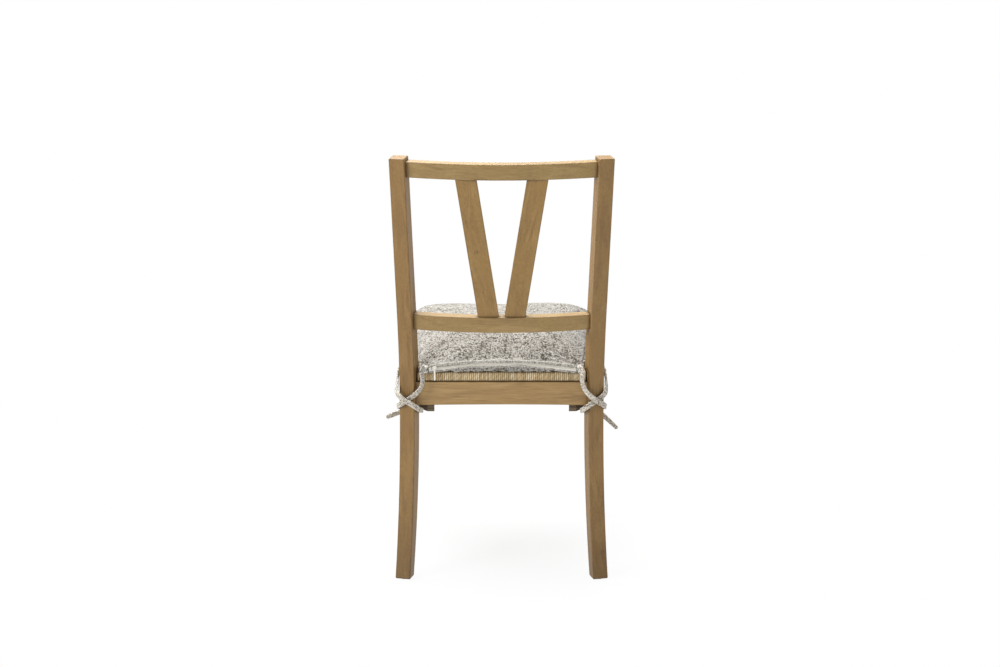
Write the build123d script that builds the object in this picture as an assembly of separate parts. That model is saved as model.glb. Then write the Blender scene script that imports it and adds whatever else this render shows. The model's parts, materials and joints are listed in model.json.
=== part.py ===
"""Dining chair with a raked V-splat back, a woven slip seat and a tie-on zipped cushion.

Frame: millimetres, +Z up, the chair faces -Y, the sitter's left is +X. The origin is on the floor
under the middle of the chair's bounding box (the four cushion ties are left out of that box).
"""
from build123d import *
import os
from math import asin, cos, degrees, radians, sin, sqrt, tan

# ---- driving dimensions, mm and degrees ------------------------------------------------------
OVERALL_DEPTH = 520.0        # front edge of the woven seat to the back of the crest rail
GLIDE_HEIGHT = 2.0           # nylon glide below each leg

# rear legs, which run on up as the back posts
POST_TOP_Z = 889.0           # back edge of the post's top
POST_HALF_WIDTH = 213.0      # X of the outer back corner at the waist
POST_WIDTH = 32.5
POST_DEPTH_TOP = 32.0
POST_DEPTH_BEND = 34.0
POST_DEPTH_WAIST = 35.5
POST_DEPTH_FOOT = 29.5
POST_TOE_OUT = 14.7          # each post is turned this far to face the curve of the back
WAIST_Z = 374.0              # the leg is upright here
BEND_TOP_Z = 562.0           # straight and raked above this
RAKE = 7.42
FOOT_SPLAY = 43.6            # how far the foot sweeps back
EDGE_EASE = 2.5

# back rails, bent to one radius
BACK_RADIUS = 750.0
RAIL_HEIGHT = 33.0
CREST_THICK = 21.0
LOWER_THICK = 22.0
RAIL_SETBACK = 10.0          # rear face of a rail, in from the post's back face
CREST_MID_Z = 866.3
LOWER_MID_Z = 546.4
BACK_TENON = (13.0, 22.0, 20.0)      # thickness, height, depth into the post

# splats of the V
SPLAT_WIDTH = 42.4
SPLAT_THICK = 13.0
SPLAT_TOP_X = 74.5           # on the crest rail's middle height
SPLAT_LOW_X = 24.5           # on the lower rail's middle height
SPLAT_HOUSING = 10.0         # let into each rail

# seat rails
APRON_TOP_Z = 416.8
APRON_HEIGHT = 48.2
APRON_THICK = 22.0
APRON_ARCH = 2.2             # shallow arch under the rear rail
REAR_RAIL_SET_IN = 2.0       # its rear face, in front of the posts' outer back corners
SIDE_RAIL_REAR_X = 188.5
SIDE_RAIL_FRONT_X = 216.0
SEAT_TENON = (12.0, 34.0)    # thickness, height
SIDE_TENON_DEPTH = 10.0
END_TENON_DEPTH = 14.0

# front legs
FRONT_LEG_OUTER_X = 235.0
FRONT_LEG_SECTION = 36.0
FRONT_LEG_FOOT = 28.0
FRONT_LEG_TAPER_Z = 352.0
FRONT_LEG_SET_IN = 4.0       # behind the front edge of the woven seat
FRONT_RAIL_SET_IN = 3.0      # behind the front legs' faces

# corner blocks and fixings
BLOCK_BOTTOM_Z = 348.5
BLOCK_HEIGHT = 54.0
BLOCK_NEAR = 141.0           # X of the rear block's end on the rear rail
BLOCK_FAR = 156.0
FRONT_BLOCK_SHIFT = 20.0     # the front blocks sit this much further out
SCREW_R = 2.5
SCREW_HEAD_R = 4.5
SCREW_HEAD_H = 3.0

# woven slip seat
SEAT_BOTTOM_Z = 416.8
SEAT_TOP_Z = 437.2
CORD_LAYER = 4.5             # thickness of the woven cord round its frame
SEAT_EDGE_ROUND = 7.0
SEAT_REAR_SET_IN = 5.0
FRAME_REAR_WIDTH = 46.0
FRAME_SIDE_WIDTH = 38.0
FRAME_FRONT_WIDTH = 46.0

# cushion
CUSHION_BOTTOM_Z = 437.6
CUSHION_TOP_Z = 505.0
CUSHION_REAR_SET_IN = 4.0
CUSHION_REAR_HALF = 166.0
CUSHION_FRONT_HALF = 223.0
CUSHION_FRONT_SET_IN = 10.0
COVER_THICK = 2.5

# zip along the cushion's rear face: it bows up to follow the cushion's edge
ZIP_MID_X = -2.0
ZIP_HALF_LENGTH = 148.0
ZIP_END_Z = 445.0
ZIP_BOW = 10.0
TAPE_THICK = 0.8
TAPE_UPPER = 7.0
TAPE_LOWER = 5.5
TAPE_BEYOND = 0.3            # degrees that the tapes run past the chain
CHAIN_HALF = 2.2
CHAIN_THICK = 2.0
ZIP_CLEARANCE = 0.3
SLIDER_HALF_LENGTH = 4.5
SLIDER_HALF_HEIGHT = 4.2
SLIDER_THICK = 3.9
PIN_R = 0.7
PIN_CLEARANCE = 0.06
PULL_LENGTH = 25.0
PULL_WIDTH = 3.2
PULL_THICK = 1.2

# ties
TIE_D = 8.0
KNOT_R = 11.0

# ---- figures that follow from them -----------------------------------------------------------
TOE = radians(POST_TOE_OUT)
REARWARD = Vector(sin(TOE), cos(TOE), 0)          # along the left post's depth
OUTWARD = Vector(cos(TOE), -sin(TOE), 0)          # across the left post's width
RAKE_AXIS = Vector(0, sin(radians(RAKE)), cos(radians(RAKE)))
BEND_RADIUS = (BEND_TOP_Z - WAIST_Z) / sin(radians(RAKE))
FOOT_RADIUS = (FOOT_SPLAY ** 2 + WAIST_Z ** 2) / (2 * FOOT_SPLAY)
ZIP_RADIUS = (ZIP_HALF_LENGTH ** 2 + ZIP_BOW ** 2) / (2 * ZIP_BOW)


def back_sweep(z):
    """How far the leg's back face is behind its waist, at height z."""
    if z < WAIST_Z:
        return FOOT_RADIUS - sqrt(FOOT_RADIUS ** 2 - (WAIST_Z - z) ** 2)
    if z < BEND_TOP_Z:
        return BEND_RADIUS - sqrt(BEND_RADIUS ** 2 - (z - WAIST_Z) ** 2)
    return BEND_RADIUS * (1 - cos(radians(RAKE))) + (z - BEND_TOP_Z) * tan(radians(RAKE))


def rail_end(z, waist_y):
    """Where a back rail's rear face meets the left post's inner face, at height z."""
    corner = Vector(POST_HALF_WIDTH, waist_y, z) - OUTWARD * POST_WIDTH
    return corner + REARWARD * (back_sweep(z) - RAIL_SETBACK)


def rail_bow(end_x):
    """Rise of the back's curve over a half chord of end_x."""
    return BACK_RADIUS - sqrt(BACK_RADIUS ** 2 - end_x ** 2)


def rail_back(z, waist_y):
    """The middle of a back rail's rear face, for a rail centred on height z at its ends."""
    end = rail_end(z, waist_y)
    bow = rail_bow(end.X)
    return Vector(0, end.Y + bow * RAKE_AXIS.Z, z - bow * RAKE_AXIS.Y)


# the crest rail's top rear edge is the rearmost line of the chair
WAIST_Y = (OVERALL_DEPTH / 2 - RAKE_AXIS.Y * RAIL_HEIGHT / 2) - rail_back(CREST_MID_Z, 0).Y
FRONT_Y = -OVERALL_DEPTH / 2
FRONT_LEG_Y = FRONT_Y + FRONT_LEG_SET_IN
REAR_RAIL_Y = WAIST_Y - REAR_RAIL_SET_IN
CUSHION_REAR_Y = WAIST_Y - CUSHION_REAR_SET_IN
ZIP_CENTRE_Z = ZIP_END_Z + ZIP_BOW - ZIP_RADIUS
ZIP_SPREAD = degrees(asin(ZIP_HALF_LENGTH / ZIP_RADIUS))


def mirrored(shape):
    """The same piece for the other side of the chair."""
    return mirror(shape, about=Plane.YZ)


def biggest(shape):
    """The largest solid of a shape that a cut has left in pieces."""
    return max(shape.solids(), key=lambda solid: solid.volume)


def bar(centre, size):
    """A square-edged bar, centred on a point."""
    return Pos(*centre) * Box(*size)


# ---- legs ------------------------------------------------------------------------------------
def rear_leg():
    """Left rear leg and back post: a curved side profile, extruded across the post's width."""
    foot_y = GLIDE_HEIGHT
    foot_back = back_sweep(foot_y)
    bend_back = back_sweep(BEND_TOP_Z)
    top_back = back_sweep(POST_TOP_Z)
    top_front = (top_back - POST_DEPTH_TOP * RAKE_AXIS.Z, POST_TOP_Z + POST_DEPTH_TOP * RAKE_AXIS.Y)
    waist_front = (-POST_DEPTH_WAIST, WAIST_Z)
    bend_front = (bend_back - POST_DEPTH_BEND, BEND_TOP_Z)
    foot_front = (foot_back - POST_DEPTH_FOOT, foot_y)
    outline = [
        TangentArc((0, WAIST_Z), (foot_back, foot_y), tangent=(0, -1)),
        Line((foot_back, foot_y), foot_front),
        TangentArc(waist_front, foot_front, tangent=(0, -1)),
        TangentArc(waist_front, bend_front, tangent=(0, 1)),
        Line(bend_front, top_front),
        Line(top_front, (top_back, POST_TOP_Z)),
        Line((top_back, POST_TOP_Z), (bend_back, BEND_TOP_Z)),
        TangentArc((0, WAIST_Z), (bend_back, BEND_TOP_Z), tangent=(0, 1)),
    ]
    side = Plane(origin=(POST_HALF_WIDTH, WAIST_Y, 0), x_dir=REARWARD, z_dir=OUTWARD)
    leg = extrude(side * make_face(outline), amount=-POST_WIDTH)
    return fillet(leg.edges(), EDGE_EASE)


def front_leg():
    """Left front leg: square above, tapered on its two inner faces below the rails."""
    outer = FRONT_LEG_OUTER_X
    top = FRONT_LEG_SECTION
    foot = FRONT_LEG_FOOT

    def section(size, z):
        centre = (outer - size / 2, FRONT_LEG_Y + size / 2, z)
        return Pos(*centre) * Rectangle(size, size)

    taper = loft([section(foot, GLIDE_HEIGHT), section(top, FRONT_LEG_TAPER_Z)])
    head = extrude(section(top, FRONT_LEG_TAPER_Z), amount=APRON_TOP_Z - FRONT_LEG_TAPER_Z)
    leg = taper + head
    long_edges = [edge for edge in leg.edges() if abs(edge.tangent_at(0.5).Z) > 0.9]
    return fillet(long_edges, EDGE_EASE)


# ---- back ------------------------------------------------------------------------------------
def rail_plane(z):
    """Plane square to the rake, on the middle of a back rail's rear face."""
    return Plane(origin=rail_back(z, WAIST_Y), x_dir=(1, 0, 0), z_dir=RAKE_AXIS)


def curved_band(depth_from, depth_to, half_angle, height):
    """A bar bent to the back's curve, between two depths in front of the curve's rear face."""
    def point(depth, angle):
        radius = BACK_RADIUS - depth
        return (radius * sin(radians(angle)), radius * cos(radians(angle)) - BACK_RADIUS)

    outline = [
        ThreePointArc(*[point(depth_from, side * half_angle) for side in (-1, 0, 1)]),
        Line(point(depth_from, half_angle), point(depth_to, half_angle)),
        ThreePointArc(*[point(depth_to, side * half_angle) for side in (-1, 0, 1)]),
        Line(point(depth_from, -half_angle), point(depth_to, -half_angle)),
    ]
    return extrude(make_face(outline), amount=height / 2, both=True)


def beyond_inner_face():
    """All the space outwards of the left post's flat inner face."""
    corner = Vector(POST_HALF_WIDTH, WAIST_Y, 0) - OUTWARD * POST_WIDTH
    reach = 4 * OVERALL_DEPTH
    space = Box(reach, reach, reach, align=(Align.CENTER, Align.CENTER, Align.MIN))
    return Plane(origin=corner, x_dir=REARWARD, z_dir=OUTWARD) * space


def back_rail(z, thick):
    """Curved back rail that butts on both posts, with a tenon at each end."""
    tenon_thick, tenon_height, tenon_depth = BACK_TENON
    reach = degrees(asin(rail_end(z, WAIST_Y).X / BACK_RADIUS))
    beyond = degrees(tenon_depth / BACK_RADIUS)
    body = curved_band(0, thick, reach + 3 * beyond / 2, RAIL_HEIGHT)
    long_edges = [edge for edge in body.edges() if edge.geom_type == GeomType.CIRCLE]
    body = fillet(long_edges, EDGE_EASE)
    inset = (thick - tenon_thick) / 2
    tenons = curved_band(inset, inset + tenon_thick, reach + beyond, tenon_height)
    place = rail_plane(z)
    space = beyond_inner_face()
    return place * body - space - mirrored(space) + place * tenons


def splat():
    """Left splat of the V: a flat board, housed in both rails."""
    crest = rail_plane(CREST_MID_Z)
    lower = rail_plane(LOWER_MID_Z)
    top = crest.from_local_coords((SPLAT_TOP_X, -rail_bow(SPLAT_TOP_X) - CREST_THICK / 2, 0))
    low = lower.from_local_coords((SPLAT_LOW_X, -rail_bow(SPLAT_LOW_X) - LOWER_THICK / 2, 0))
    top, low = Vector(top), Vector(low)
    run = top - low
    length = run.length - RAIL_HEIGHT + 2 * SPLAT_HOUSING
    face = Vector(1, 0, 0).cross(run.normalized()) * -1
    board = Box(length, SPLAT_WIDTH, SPLAT_THICK)
    board = fillet(board.edges().filter_by(Axis.X), EDGE_EASE / 2)
    return Plane(origin=(top + low) / 2, x_dir=run, z_dir=face) * board


# ---- seat rails and blocks -------------------------------------------------------------------
def rear_seat_rail(posts):
    """Straight rear rail with a shallow arch below, tenoned into both posts."""
    half = POST_HALF_WIDTH
    low = APRON_TOP_Z - APRON_HEIGHT - APRON_ARCH
    outline = [
        Line((-half, APRON_TOP_Z), (half, APRON_TOP_Z)),
        Line((half, APRON_TOP_Z), (half, low)),
        ThreePointArc((-half, low), (0, low + APRON_ARCH), (half, low)),
        Line((-half, low), (-half, APRON_TOP_Z)),
    ]
    face = Plane(origin=(0, REAR_RAIL_Y, 0), x_dir=(1, 0, 0), z_dir=(0, -1, 0)) * make_face(outline)
    body = extrude(face, amount=APRON_THICK)
    body = fillet(body.edges().filter_by(Axis.X), EDGE_EASE / 2)
    for post in posts:
        body = body - post
    thick, height = SEAT_TENON
    inner_x = POST_HALF_WIDTH - POST_WIDTH * OUTWARD.X
    tenon = bar((0, REAR_RAIL_Y - APRON_THICK / 2, APRON_TOP_Z - APRON_HEIGHT / 2),
                (2 * (inner_x - REARWARD.X * APRON_THICK / 2 + END_TENON_DEPTH), thick, height))
    return biggest(body) + tenon


def side_seat_rail(posts, front):
    """Left side rail, splayed outwards to the front, with a tenon at each end."""
    rear = Vector(SIDE_RAIL_REAR_X, WAIST_Y - POST_DEPTH_WAIST, 0)
    fore = Vector(SIDE_RAIL_FRONT_X, FRONT_LEG_Y + FRONT_LEG_SECTION, 0)
    run = rear - fore
    middle = (rear + fore) / 2 + Vector(0, 0, APRON_TOP_Z - APRON_HEIGHT / 2)
    place = Plane(origin=middle, x_dir=run, z_dir=(0, 0, 1))
    body = Box(run.length + POST_DEPTH_WAIST, APRON_THICK, APRON_HEIGHT)
    body = place * fillet(body.edges().filter_by(Axis.X), EDGE_EASE / 2)
    for leg in (*posts, front):
        body = body - leg
    thick, height = SEAT_TENON
    tenon = place * bar(((SIDE_TENON_DEPTH - END_TENON_DEPTH) / 2, 0, 0),
                        (run.length + SIDE_TENON_DEPTH + END_TENON_DEPTH, thick, height))
    return biggest(body) + tenon


def front_seat_rail(fronts):
    """Front rail between the front legs."""
    y = FRONT_LEG_Y + FRONT_RAIL_SET_IN + APRON_THICK / 2
    z = APRON_TOP_Z - APRON_HEIGHT / 2
    body = Box(2 * FRONT_LEG_OUTER_X, APRON_THICK, APRON_HEIGHT)
    body = Pos(0, y, z) * fillet(body.edges().filter_by(Axis.X), EDGE_EASE / 2)
    for leg in fronts:
        body = body - leg
    thick, height = SEAT_TENON
    inner_x = FRONT_LEG_OUTER_X - FRONT_LEG_SECTION
    return biggest(body) + bar((0, y, z), (2 * (inner_x + END_TENON_DEPTH), thick, height))


def side_rail_inner_x(y):
    """X of the left side rail's inner face at a place along the seat."""
    rear_y = WAIST_Y - POST_DEPTH_WAIST
    fore_y = FRONT_LEG_Y + FRONT_LEG_SECTION
    share = (rear_y - y) / (rear_y - fore_y)
    return SIDE_RAIL_REAR_X + (SIDE_RAIL_FRONT_X - SIDE_RAIL_REAR_X) * share - APRON_THICK / 2


def corner_block(rail_y, inward, near, far, rails):
    """Left corner block: a brace across the corner that leaves the leg's corner open.

    rail_y is the face of the rear or front rail that it sits on, and inward is the way into the seat.
    """
    reach_far = 33.0
    reach_near = 57.0
    start = rail_y - inward
    points = [
        (near, start),
        (far, start),
        (side_rail_inner_x(rail_y) + 2, rail_y + inward * reach_far),
        (side_rail_inner_x(rail_y) + 2, rail_y + inward * reach_near),
    ]
    block = extrude(Pos(0, 0, BLOCK_BOTTOM_Z) * make_face(Polyline(*points, close=True)), amount=BLOCK_HEIGHT)
    for rail in rails:
        block = block - rail
    return biggest(block)


def wood_screw(head, direction, length):
    """A countersunk screw from the middle of its head's face."""
    turned = Plane(origin=head, z_dir=direction)
    cone = Cone(SCREW_HEAD_R, SCREW_R, SCREW_HEAD_H, align=(Align.CENTER, Align.CENTER, Align.MIN))
    shank = Cylinder(SCREW_R, length, align=(Align.CENTER, Align.CENTER, Align.MIN))
    return turned * (cone + shank)


def screws_of(rail_y, inward, near):
    """Two screws from a left corner block's inner face, one into each rail that it sits on."""
    above_middle = 12.0
    from_block_end = 8.0
    head_off_rail = 10.0
    head_off_side_rail = 7.0
    side_screw_in = 46.0
    rail_screw, side_screw = 22.0, 20.0
    height = BLOCK_BOTTOM_Z + BLOCK_HEIGHT / 2 + above_middle
    into_rail = wood_screw(Vector(near + from_block_end, rail_y + inward * head_off_rail, height),
                           (0, -inward, 0), rail_screw)
    side_y = rail_y + inward * side_screw_in
    into_side = wood_screw(Vector(side_rail_inner_x(side_y) - head_off_side_rail, side_y, height),
                           (1, 0, 0), side_screw)
    return [into_rail, into_side]


# ---- woven slip seat -------------------------------------------------------------------------
def seat_outline(margin):
    """Plan of the slip seat, notched round the posts, drawn in by a margin from the cord's face."""
    rear_y = WAIST_Y - SEAT_REAR_SET_IN - margin
    gap = 3.0
    past_front_leg = 1.0
    post_front_in = Vector(POST_HALF_WIDTH, WAIST_Y, 0) - OUTWARD * POST_WIDTH - REARWARD * POST_DEPTH_WAIST
    slope = REARWARD.X / REARWARD.Y
    rear_x = post_front_in.X - gap - margin + (rear_y - post_front_in.Y) * slope
    notch = (post_front_in.X - gap - margin, post_front_in.Y - gap - margin)
    shoulder_y = WAIST_Y - POST_DEPTH_WAIST * REARWARD.Y - gap - margin
    front_y = FRONT_Y + margin
    shoulder_x = SIDE_RAIL_REAR_X + APRON_THICK / 2 + gap - margin
    front_x = FRONT_LEG_OUTER_X + past_front_leg - margin
    half = [(rear_x, rear_y), notch, (shoulder_x, shoulder_y), (front_x, front_y)]
    other = [(-x, y) for x, y in reversed(half)]
    return Polyline(*half, *other, close=True)


def slip_frame():
    """The seat's hidden frame as four rails, rear and front running through."""
    bottom = SEAT_BOTTOM_Z + CORD_LAYER
    height = SEAT_TOP_Z - SEAT_BOTTOM_Z - 2 * CORD_LAYER
    plate = extrude(Pos(0, 0, bottom) * make_face(seat_outline(CORD_LAYER)), amount=height)
    rear_y = WAIST_Y - SEAT_REAR_SET_IN - CORD_LAYER - FRAME_REAR_WIDTH
    front_y = FRONT_Y + CORD_LAYER + FRAME_FRONT_WIDTH
    half_rear = SIDE_RAIL_REAR_X + APRON_THICK / 2 - FRAME_SIDE_WIDTH
    half_front = FRONT_LEG_OUTER_X - FRAME_SIDE_WIDTH
    hole = Polyline((half_rear, rear_y), (-half_rear, rear_y), (-half_front, front_y),
                    (half_front, front_y), close=True)
    ring = plate - extrude(Pos(0, 0, bottom) * make_face(hole), amount=height)
    reach = OVERALL_DEPTH
    rear_half = bar((0, rear_y + reach / 2, bottom), (reach * 2, reach, reach))
    front_half = bar((0, front_y - reach / 2, bottom), (reach * 2, reach, reach))
    left_half = bar((reach, 0, bottom), (reach * 2, reach * 2, reach))
    rear = ring & rear_half
    front = ring & front_half
    sides = ring - rear_half - front_half
    left = sides & left_half
    return {"slip_frame_rear": rear, "slip_frame_front": front,
            "slip_frame_left": left, "slip_frame_right": mirrored(left)}


def woven_seat(frame):
    """The woven cord as one closed pad round the slip frame."""
    height = SEAT_TOP_Z - SEAT_BOTTOM_Z
    pad = extrude(Pos(0, 0, SEAT_BOTTOM_Z) * make_face(seat_outline(0)), amount=height)
    pad = fillet(pad.edges().filter_by(Plane.XY), SEAT_EDGE_ROUND)
    for rail in frame.values():
        pad = pad - rail
    return pad


# ---- cushion and its zip ---------------------------------------------------------------------
def cushion_block(inset):
    """The cushion as a plain pad with rounded corners, drawn in all round by inset."""
    rear_y = CUSHION_REAR_Y - inset
    front_y = FRONT_Y + CUSHION_FRONT_SET_IN + inset
    rear_x = CUSHION_REAR_HALF - inset
    front_x = CUSHION_FRONT_HALF - inset
    plan = make_face(Polyline((rear_x, rear_y), (-rear_x, rear_y), (-front_x, front_y),
                              (front_x, front_y), close=True))
    corners = plan.vertices()
    rear_round = 9.0
    front_round = 34.0
    plan = fillet(corners.sort_by(Axis.Y)[2:], rear_round)
    plan = fillet(plan.vertices().sort_by(Axis.Y)[:2], front_round)
    height = CUSHION_TOP_Z - CUSHION_BOTTOM_Z - 2 * inset
    pad = extrude(Pos(0, 0, CUSHION_BOTTOM_Z + inset) * plan, amount=height)
    top_round = 8.0
    pad = fillet(pad.edges().group_by(Axis.Z)[-1], top_round)
    return pad


def zip_band(below, above, y_from, y_to, spread=ZIP_SPREAD):
    """A strip along the zip's curve, between two heights about it and two depths."""
    def point(radius, angle):
        return (ZIP_MID_X + radius * sin(radians(angle)), ZIP_CENTRE_Z + radius * cos(radians(angle)))

    low = ZIP_RADIUS + below
    high = ZIP_RADIUS + above
    outline = [
        ThreePointArc(*[point(low, side * spread) for side in (-1, 0, 1)]),
        Line(point(low, spread), point(high, spread)),
        ThreePointArc(*[point(high, side * spread) for side in (-1, 0, 1)]),
        Line(point(low, -spread), point(high, -spread)),
    ]
    face = Plane(origin=(0, y_from, 0), x_dir=(1, 0, 0), z_dir=(0, -1, 0)) * make_face(outline)
    return extrude(face, amount=y_from - y_to)


def zip_place(angle):
    """Location on the zip's curve, turned with it; its own X runs along the zip."""
    centre = Pos(ZIP_MID_X, CUSHION_REAR_Y, ZIP_CENTRE_Z)
    return centre * Rot(0, angle, 0) * Pos(0, 0, ZIP_RADIUS)


def zip_fixed():
    """Two tapes, the closed chain between them, and its end stops."""
    y = CUSHION_REAR_Y
    face = y + TAPE_THICK
    chain_short_of_tape = 0.1        # degrees round the zip's arc
    stop_past_chain = 0.2            # degrees
    stop_length = 2.4
    stop_proud = 0.8
    stop_spread = ZIP_SPREAD - chain_short_of_tape
    stops = []
    for side in (-1, 1):
        stop = Box(stop_length, CHAIN_THICK + stop_proud, 2 * (CHAIN_HALF + stop_proud),
                   align=(Align.CENTER, Align.MIN, Align.CENTER))
        stops.append(zip_place(side * (stop_spread + stop_past_chain)) * Pos(0, TAPE_THICK, 0) * stop)
    tape_spread = ZIP_SPREAD + TAPE_BEYOND
    return {
        "zip_tape_upper": zip_band(0, TAPE_UPPER, y, face, tape_spread),
        "zip_tape_lower": zip_band(-TAPE_LOWER, 0, y, face, tape_spread),
        "zip_chain": zip_band(-CHAIN_HALF, CHAIN_HALF, face, face + CHAIN_THICK, stop_spread),
        "zip_stops": stops,
    }


SLIDER_ANGLE = ZIP_SPREAD - 0.36      # closed, just clear of the end stop
PIN_OFF_SLIDER = 2.3                  # leaves room for the pull to swing clear of the slider
PIN_OUT = TAPE_THICK + ZIP_CLEARANCE + SLIDER_THICK + PIN_OFF_SLIDER


def zip_slider():
    """Slider that straddles the chain, with two ears and a pin for the pull."""
    out = TAPE_THICK + ZIP_CLEARANCE
    block = Pos(0, out, 0) * Box(2 * SLIDER_HALF_LENGTH, SLIDER_THICK, 2 * SLIDER_HALF_HEIGHT,
                                 align=(Align.CENTER, Align.MIN, Align.CENTER))
    corner_r = 1.5
    block = fillet(block.edges().filter_by(Axis.Y), corner_r)
    ear_gap = 1.1
    ear_thick, ear_depth, ear_height = 0.9, 5.0, 3.0
    ear_behind_pin = 1.0
    ear = Box(ear_thick, ear_depth, ear_height)
    ears = [Pos(side * (ear_gap + ear_thick / 2), PIN_OUT - ear_behind_pin, 0) * ear for side in (-1, 1)]
    pin = Pos(0, PIN_OUT, 0) * Rot(0, 90, 0) * Cylinder(PIN_R, 2 * (ear_gap + ear_thick))
    body = block + ears + pin
    channel = zip_band(-CHAIN_HALF - ZIP_CLEARANCE, CHAIN_HALF + ZIP_CLEARANCE, CUSHION_REAR_Y,
                       CUSHION_REAR_Y + TAPE_THICK + CHAIN_THICK + ZIP_CLEARANCE)
    return zip_place(SLIDER_ANGLE) * body - channel


def zip_pull():
    """Pull tab that hangs from the slider's pin, its eye on the pin's line."""
    eye_r = 1.9
    eye_width = 1.7
    eye = Rot(0, 90, 0) * (Cylinder(eye_r, eye_width) - Cylinder(PIN_R + PIN_CLEARANCE, eye_width))
    eye = zip_place(SLIDER_ANGLE) * Pos(0, PIN_OUT, 0) * eye
    pin = (zip_place(SLIDER_ANGLE) * Pos(0, PIN_OUT, 0)).position
    neck = 1.2
    tab_corner_r = 1.2
    stem_into_tab = 1.0
    stem_into_eye = 0.3
    stem_width = 1.5
    tab = Box(PULL_WIDTH, PULL_THICK, PULL_LENGTH - neck - eye_r, align=(Align.CENTER, Align.CENTER, Align.MAX))
    tab = fillet(tab.edges().filter_by(Axis.Y), tab_corner_r)
    stem = Box(stem_width, PULL_THICK, neck + stem_into_tab, align=(Align.CENTER, Align.CENTER, Align.MAX))
    hang = Pos(pin.X, pin.Y, pin.Z - eye_r + stem_into_eye)
    return eye + hang * stem + hang * Pos(0, 0, -neck) * tab


# ---- ties ------------------------------------------------------------------------------------
# Each route is a list of points (X, Y behind the waist line, Z), for a tie on the left post.
INNER_ROUTE_LEFT = [
    (161, -3, 447), (166, 7, 449), (166.5, 13, 438), (163, 11, 423), (167, 11, 407),
    (179, 16, 394), (198, 11, 380), (214, 7.5, 370), (219.5, -6, 363), (214.5, -26, 358),
    (206, -39, 355), (192, -45, 353.5), (183, -53, 345), (181, -56, 330), (186, -57, 313), (190, -57, 297),
]
OUTER_ROUTE_LEFT = [
    (169, -44, 447), (184, -46, 446), (201, -44, 446), (215, -36, 440), (219.5, -20, 428),
    (220.5, -3, 411), (221, 9, 399), (212, 18, 390), (198, 21, 381), (183, 21, 372),
    (171, 14, 362), (166.5, -2, 355.5), (166, -17, 352.5), (170, -32, 349), (180, -41, 346),
    (194, -43, 345.4), (210, -44, 343), (226, -42, 338), (243, -38, 331),
]
INNER_ROUTE_RIGHT = [
    (161, -3, 447), (166, 7, 449), (167, 13, 437), (166, 12, 422), (171, 13, 406),
    (182, 21.5, 393), (199, 22, 381), (214, 13, 371), (220, -4, 363), (215, -25, 358),
    (206, -39, 355), (192, -45, 353.5), (183, -53, 345), (181, -56, 330), (186, -57, 313), (190, -57, 297),
]
OUTER_ROUTE_RIGHT = [
    (169, -44, 447), (184, -46, 446), (201, -44, 446), (215, -36, 440), (219.5, -20, 428),
    (220.5, -4, 412), (219.5, 6, 399), (212, 8.5, 390), (198, 11.5, 381), (183, 15, 372),
    (171, 12, 362), (166.5, -2, 355.5), (166, -17, 352.5), (170, -32, 349), (180, -41, 346),
    (194, -43, 345.4), (209, -44, 339), (225, -42, 325), (244, -38, 307),
]
KNOT_CENTRE = (192, -43, 349.9)


def tie_path(route, side):
    """Straight runs joined by tangent arcs, each as large as its two runs allow."""
    points = [Vector(side * x, WAIST_Y + y, z) for x, y, z in route]
    radii = []
    for before, here, after in zip(points, points[1:], points[2:]):
        turn = (here - before).get_angle(after - here)
        shorter = min((here - before).length, (after - here).length)
        radii.append(0.45 * shorter / tan(radians(turn / 2)))
    return FilletPolyline(*points, radius=radii), radii


def tie(route, side):
    """A tie as a plain tube along its route."""
    path, radii = tie_path(route, side)
    section = Plane(origin=path @ 0, z_dir=path % 0) * Circle(TIE_D / 2)
    tube = sweep(section, path=path)
    expected = path.length * section.area
    print(f"tie length {path.length:.1f}  smallest radius {min(radii):.1f}  largest {max(radii):.1f}"
          f"  volume against section x length {tube.volume / expected:.4f}")
    return tube


def clear_of_cushion(pieces):
    """The stretches of a tie that lie outside the cushion, without the stub left inside it."""
    stub = 300.0
    return [solid for solid in pieces.solids() if solid.volume > stub]


def knot(side):
    """The knot of one post's two ties, in front of the leg."""
    x, y, z = KNOT_CENTRE
    return Pos(side * x, WAIST_Y + y, z) * Sphere(KNOT_R)


# ---- glides ----------------------------------------------------------------------------------
def glide(foot):
    """Nylon glide with its nail, under the middle of a leg's foot."""
    base = foot.faces().sort_by(Axis.Z)[0]
    centre = base.center()
    disc_r = 9.0
    nail_r = 1.2
    nail_length = 14.0
    up = (Align.CENTER, Align.CENTER, Align.MIN)
    rim_ease = 0.6
    disc = fillet(Cylinder(disc_r, GLIDE_HEIGHT, align=up).edges().group_by(Axis.Z)[0], rim_ease)
    nail = Pos(0, 0, GLIDE_HEIGHT) * Cylinder(nail_r, nail_length, align=up)
    return Pos(centre.X, centre.Y, 0) * (disc + nail)


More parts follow.
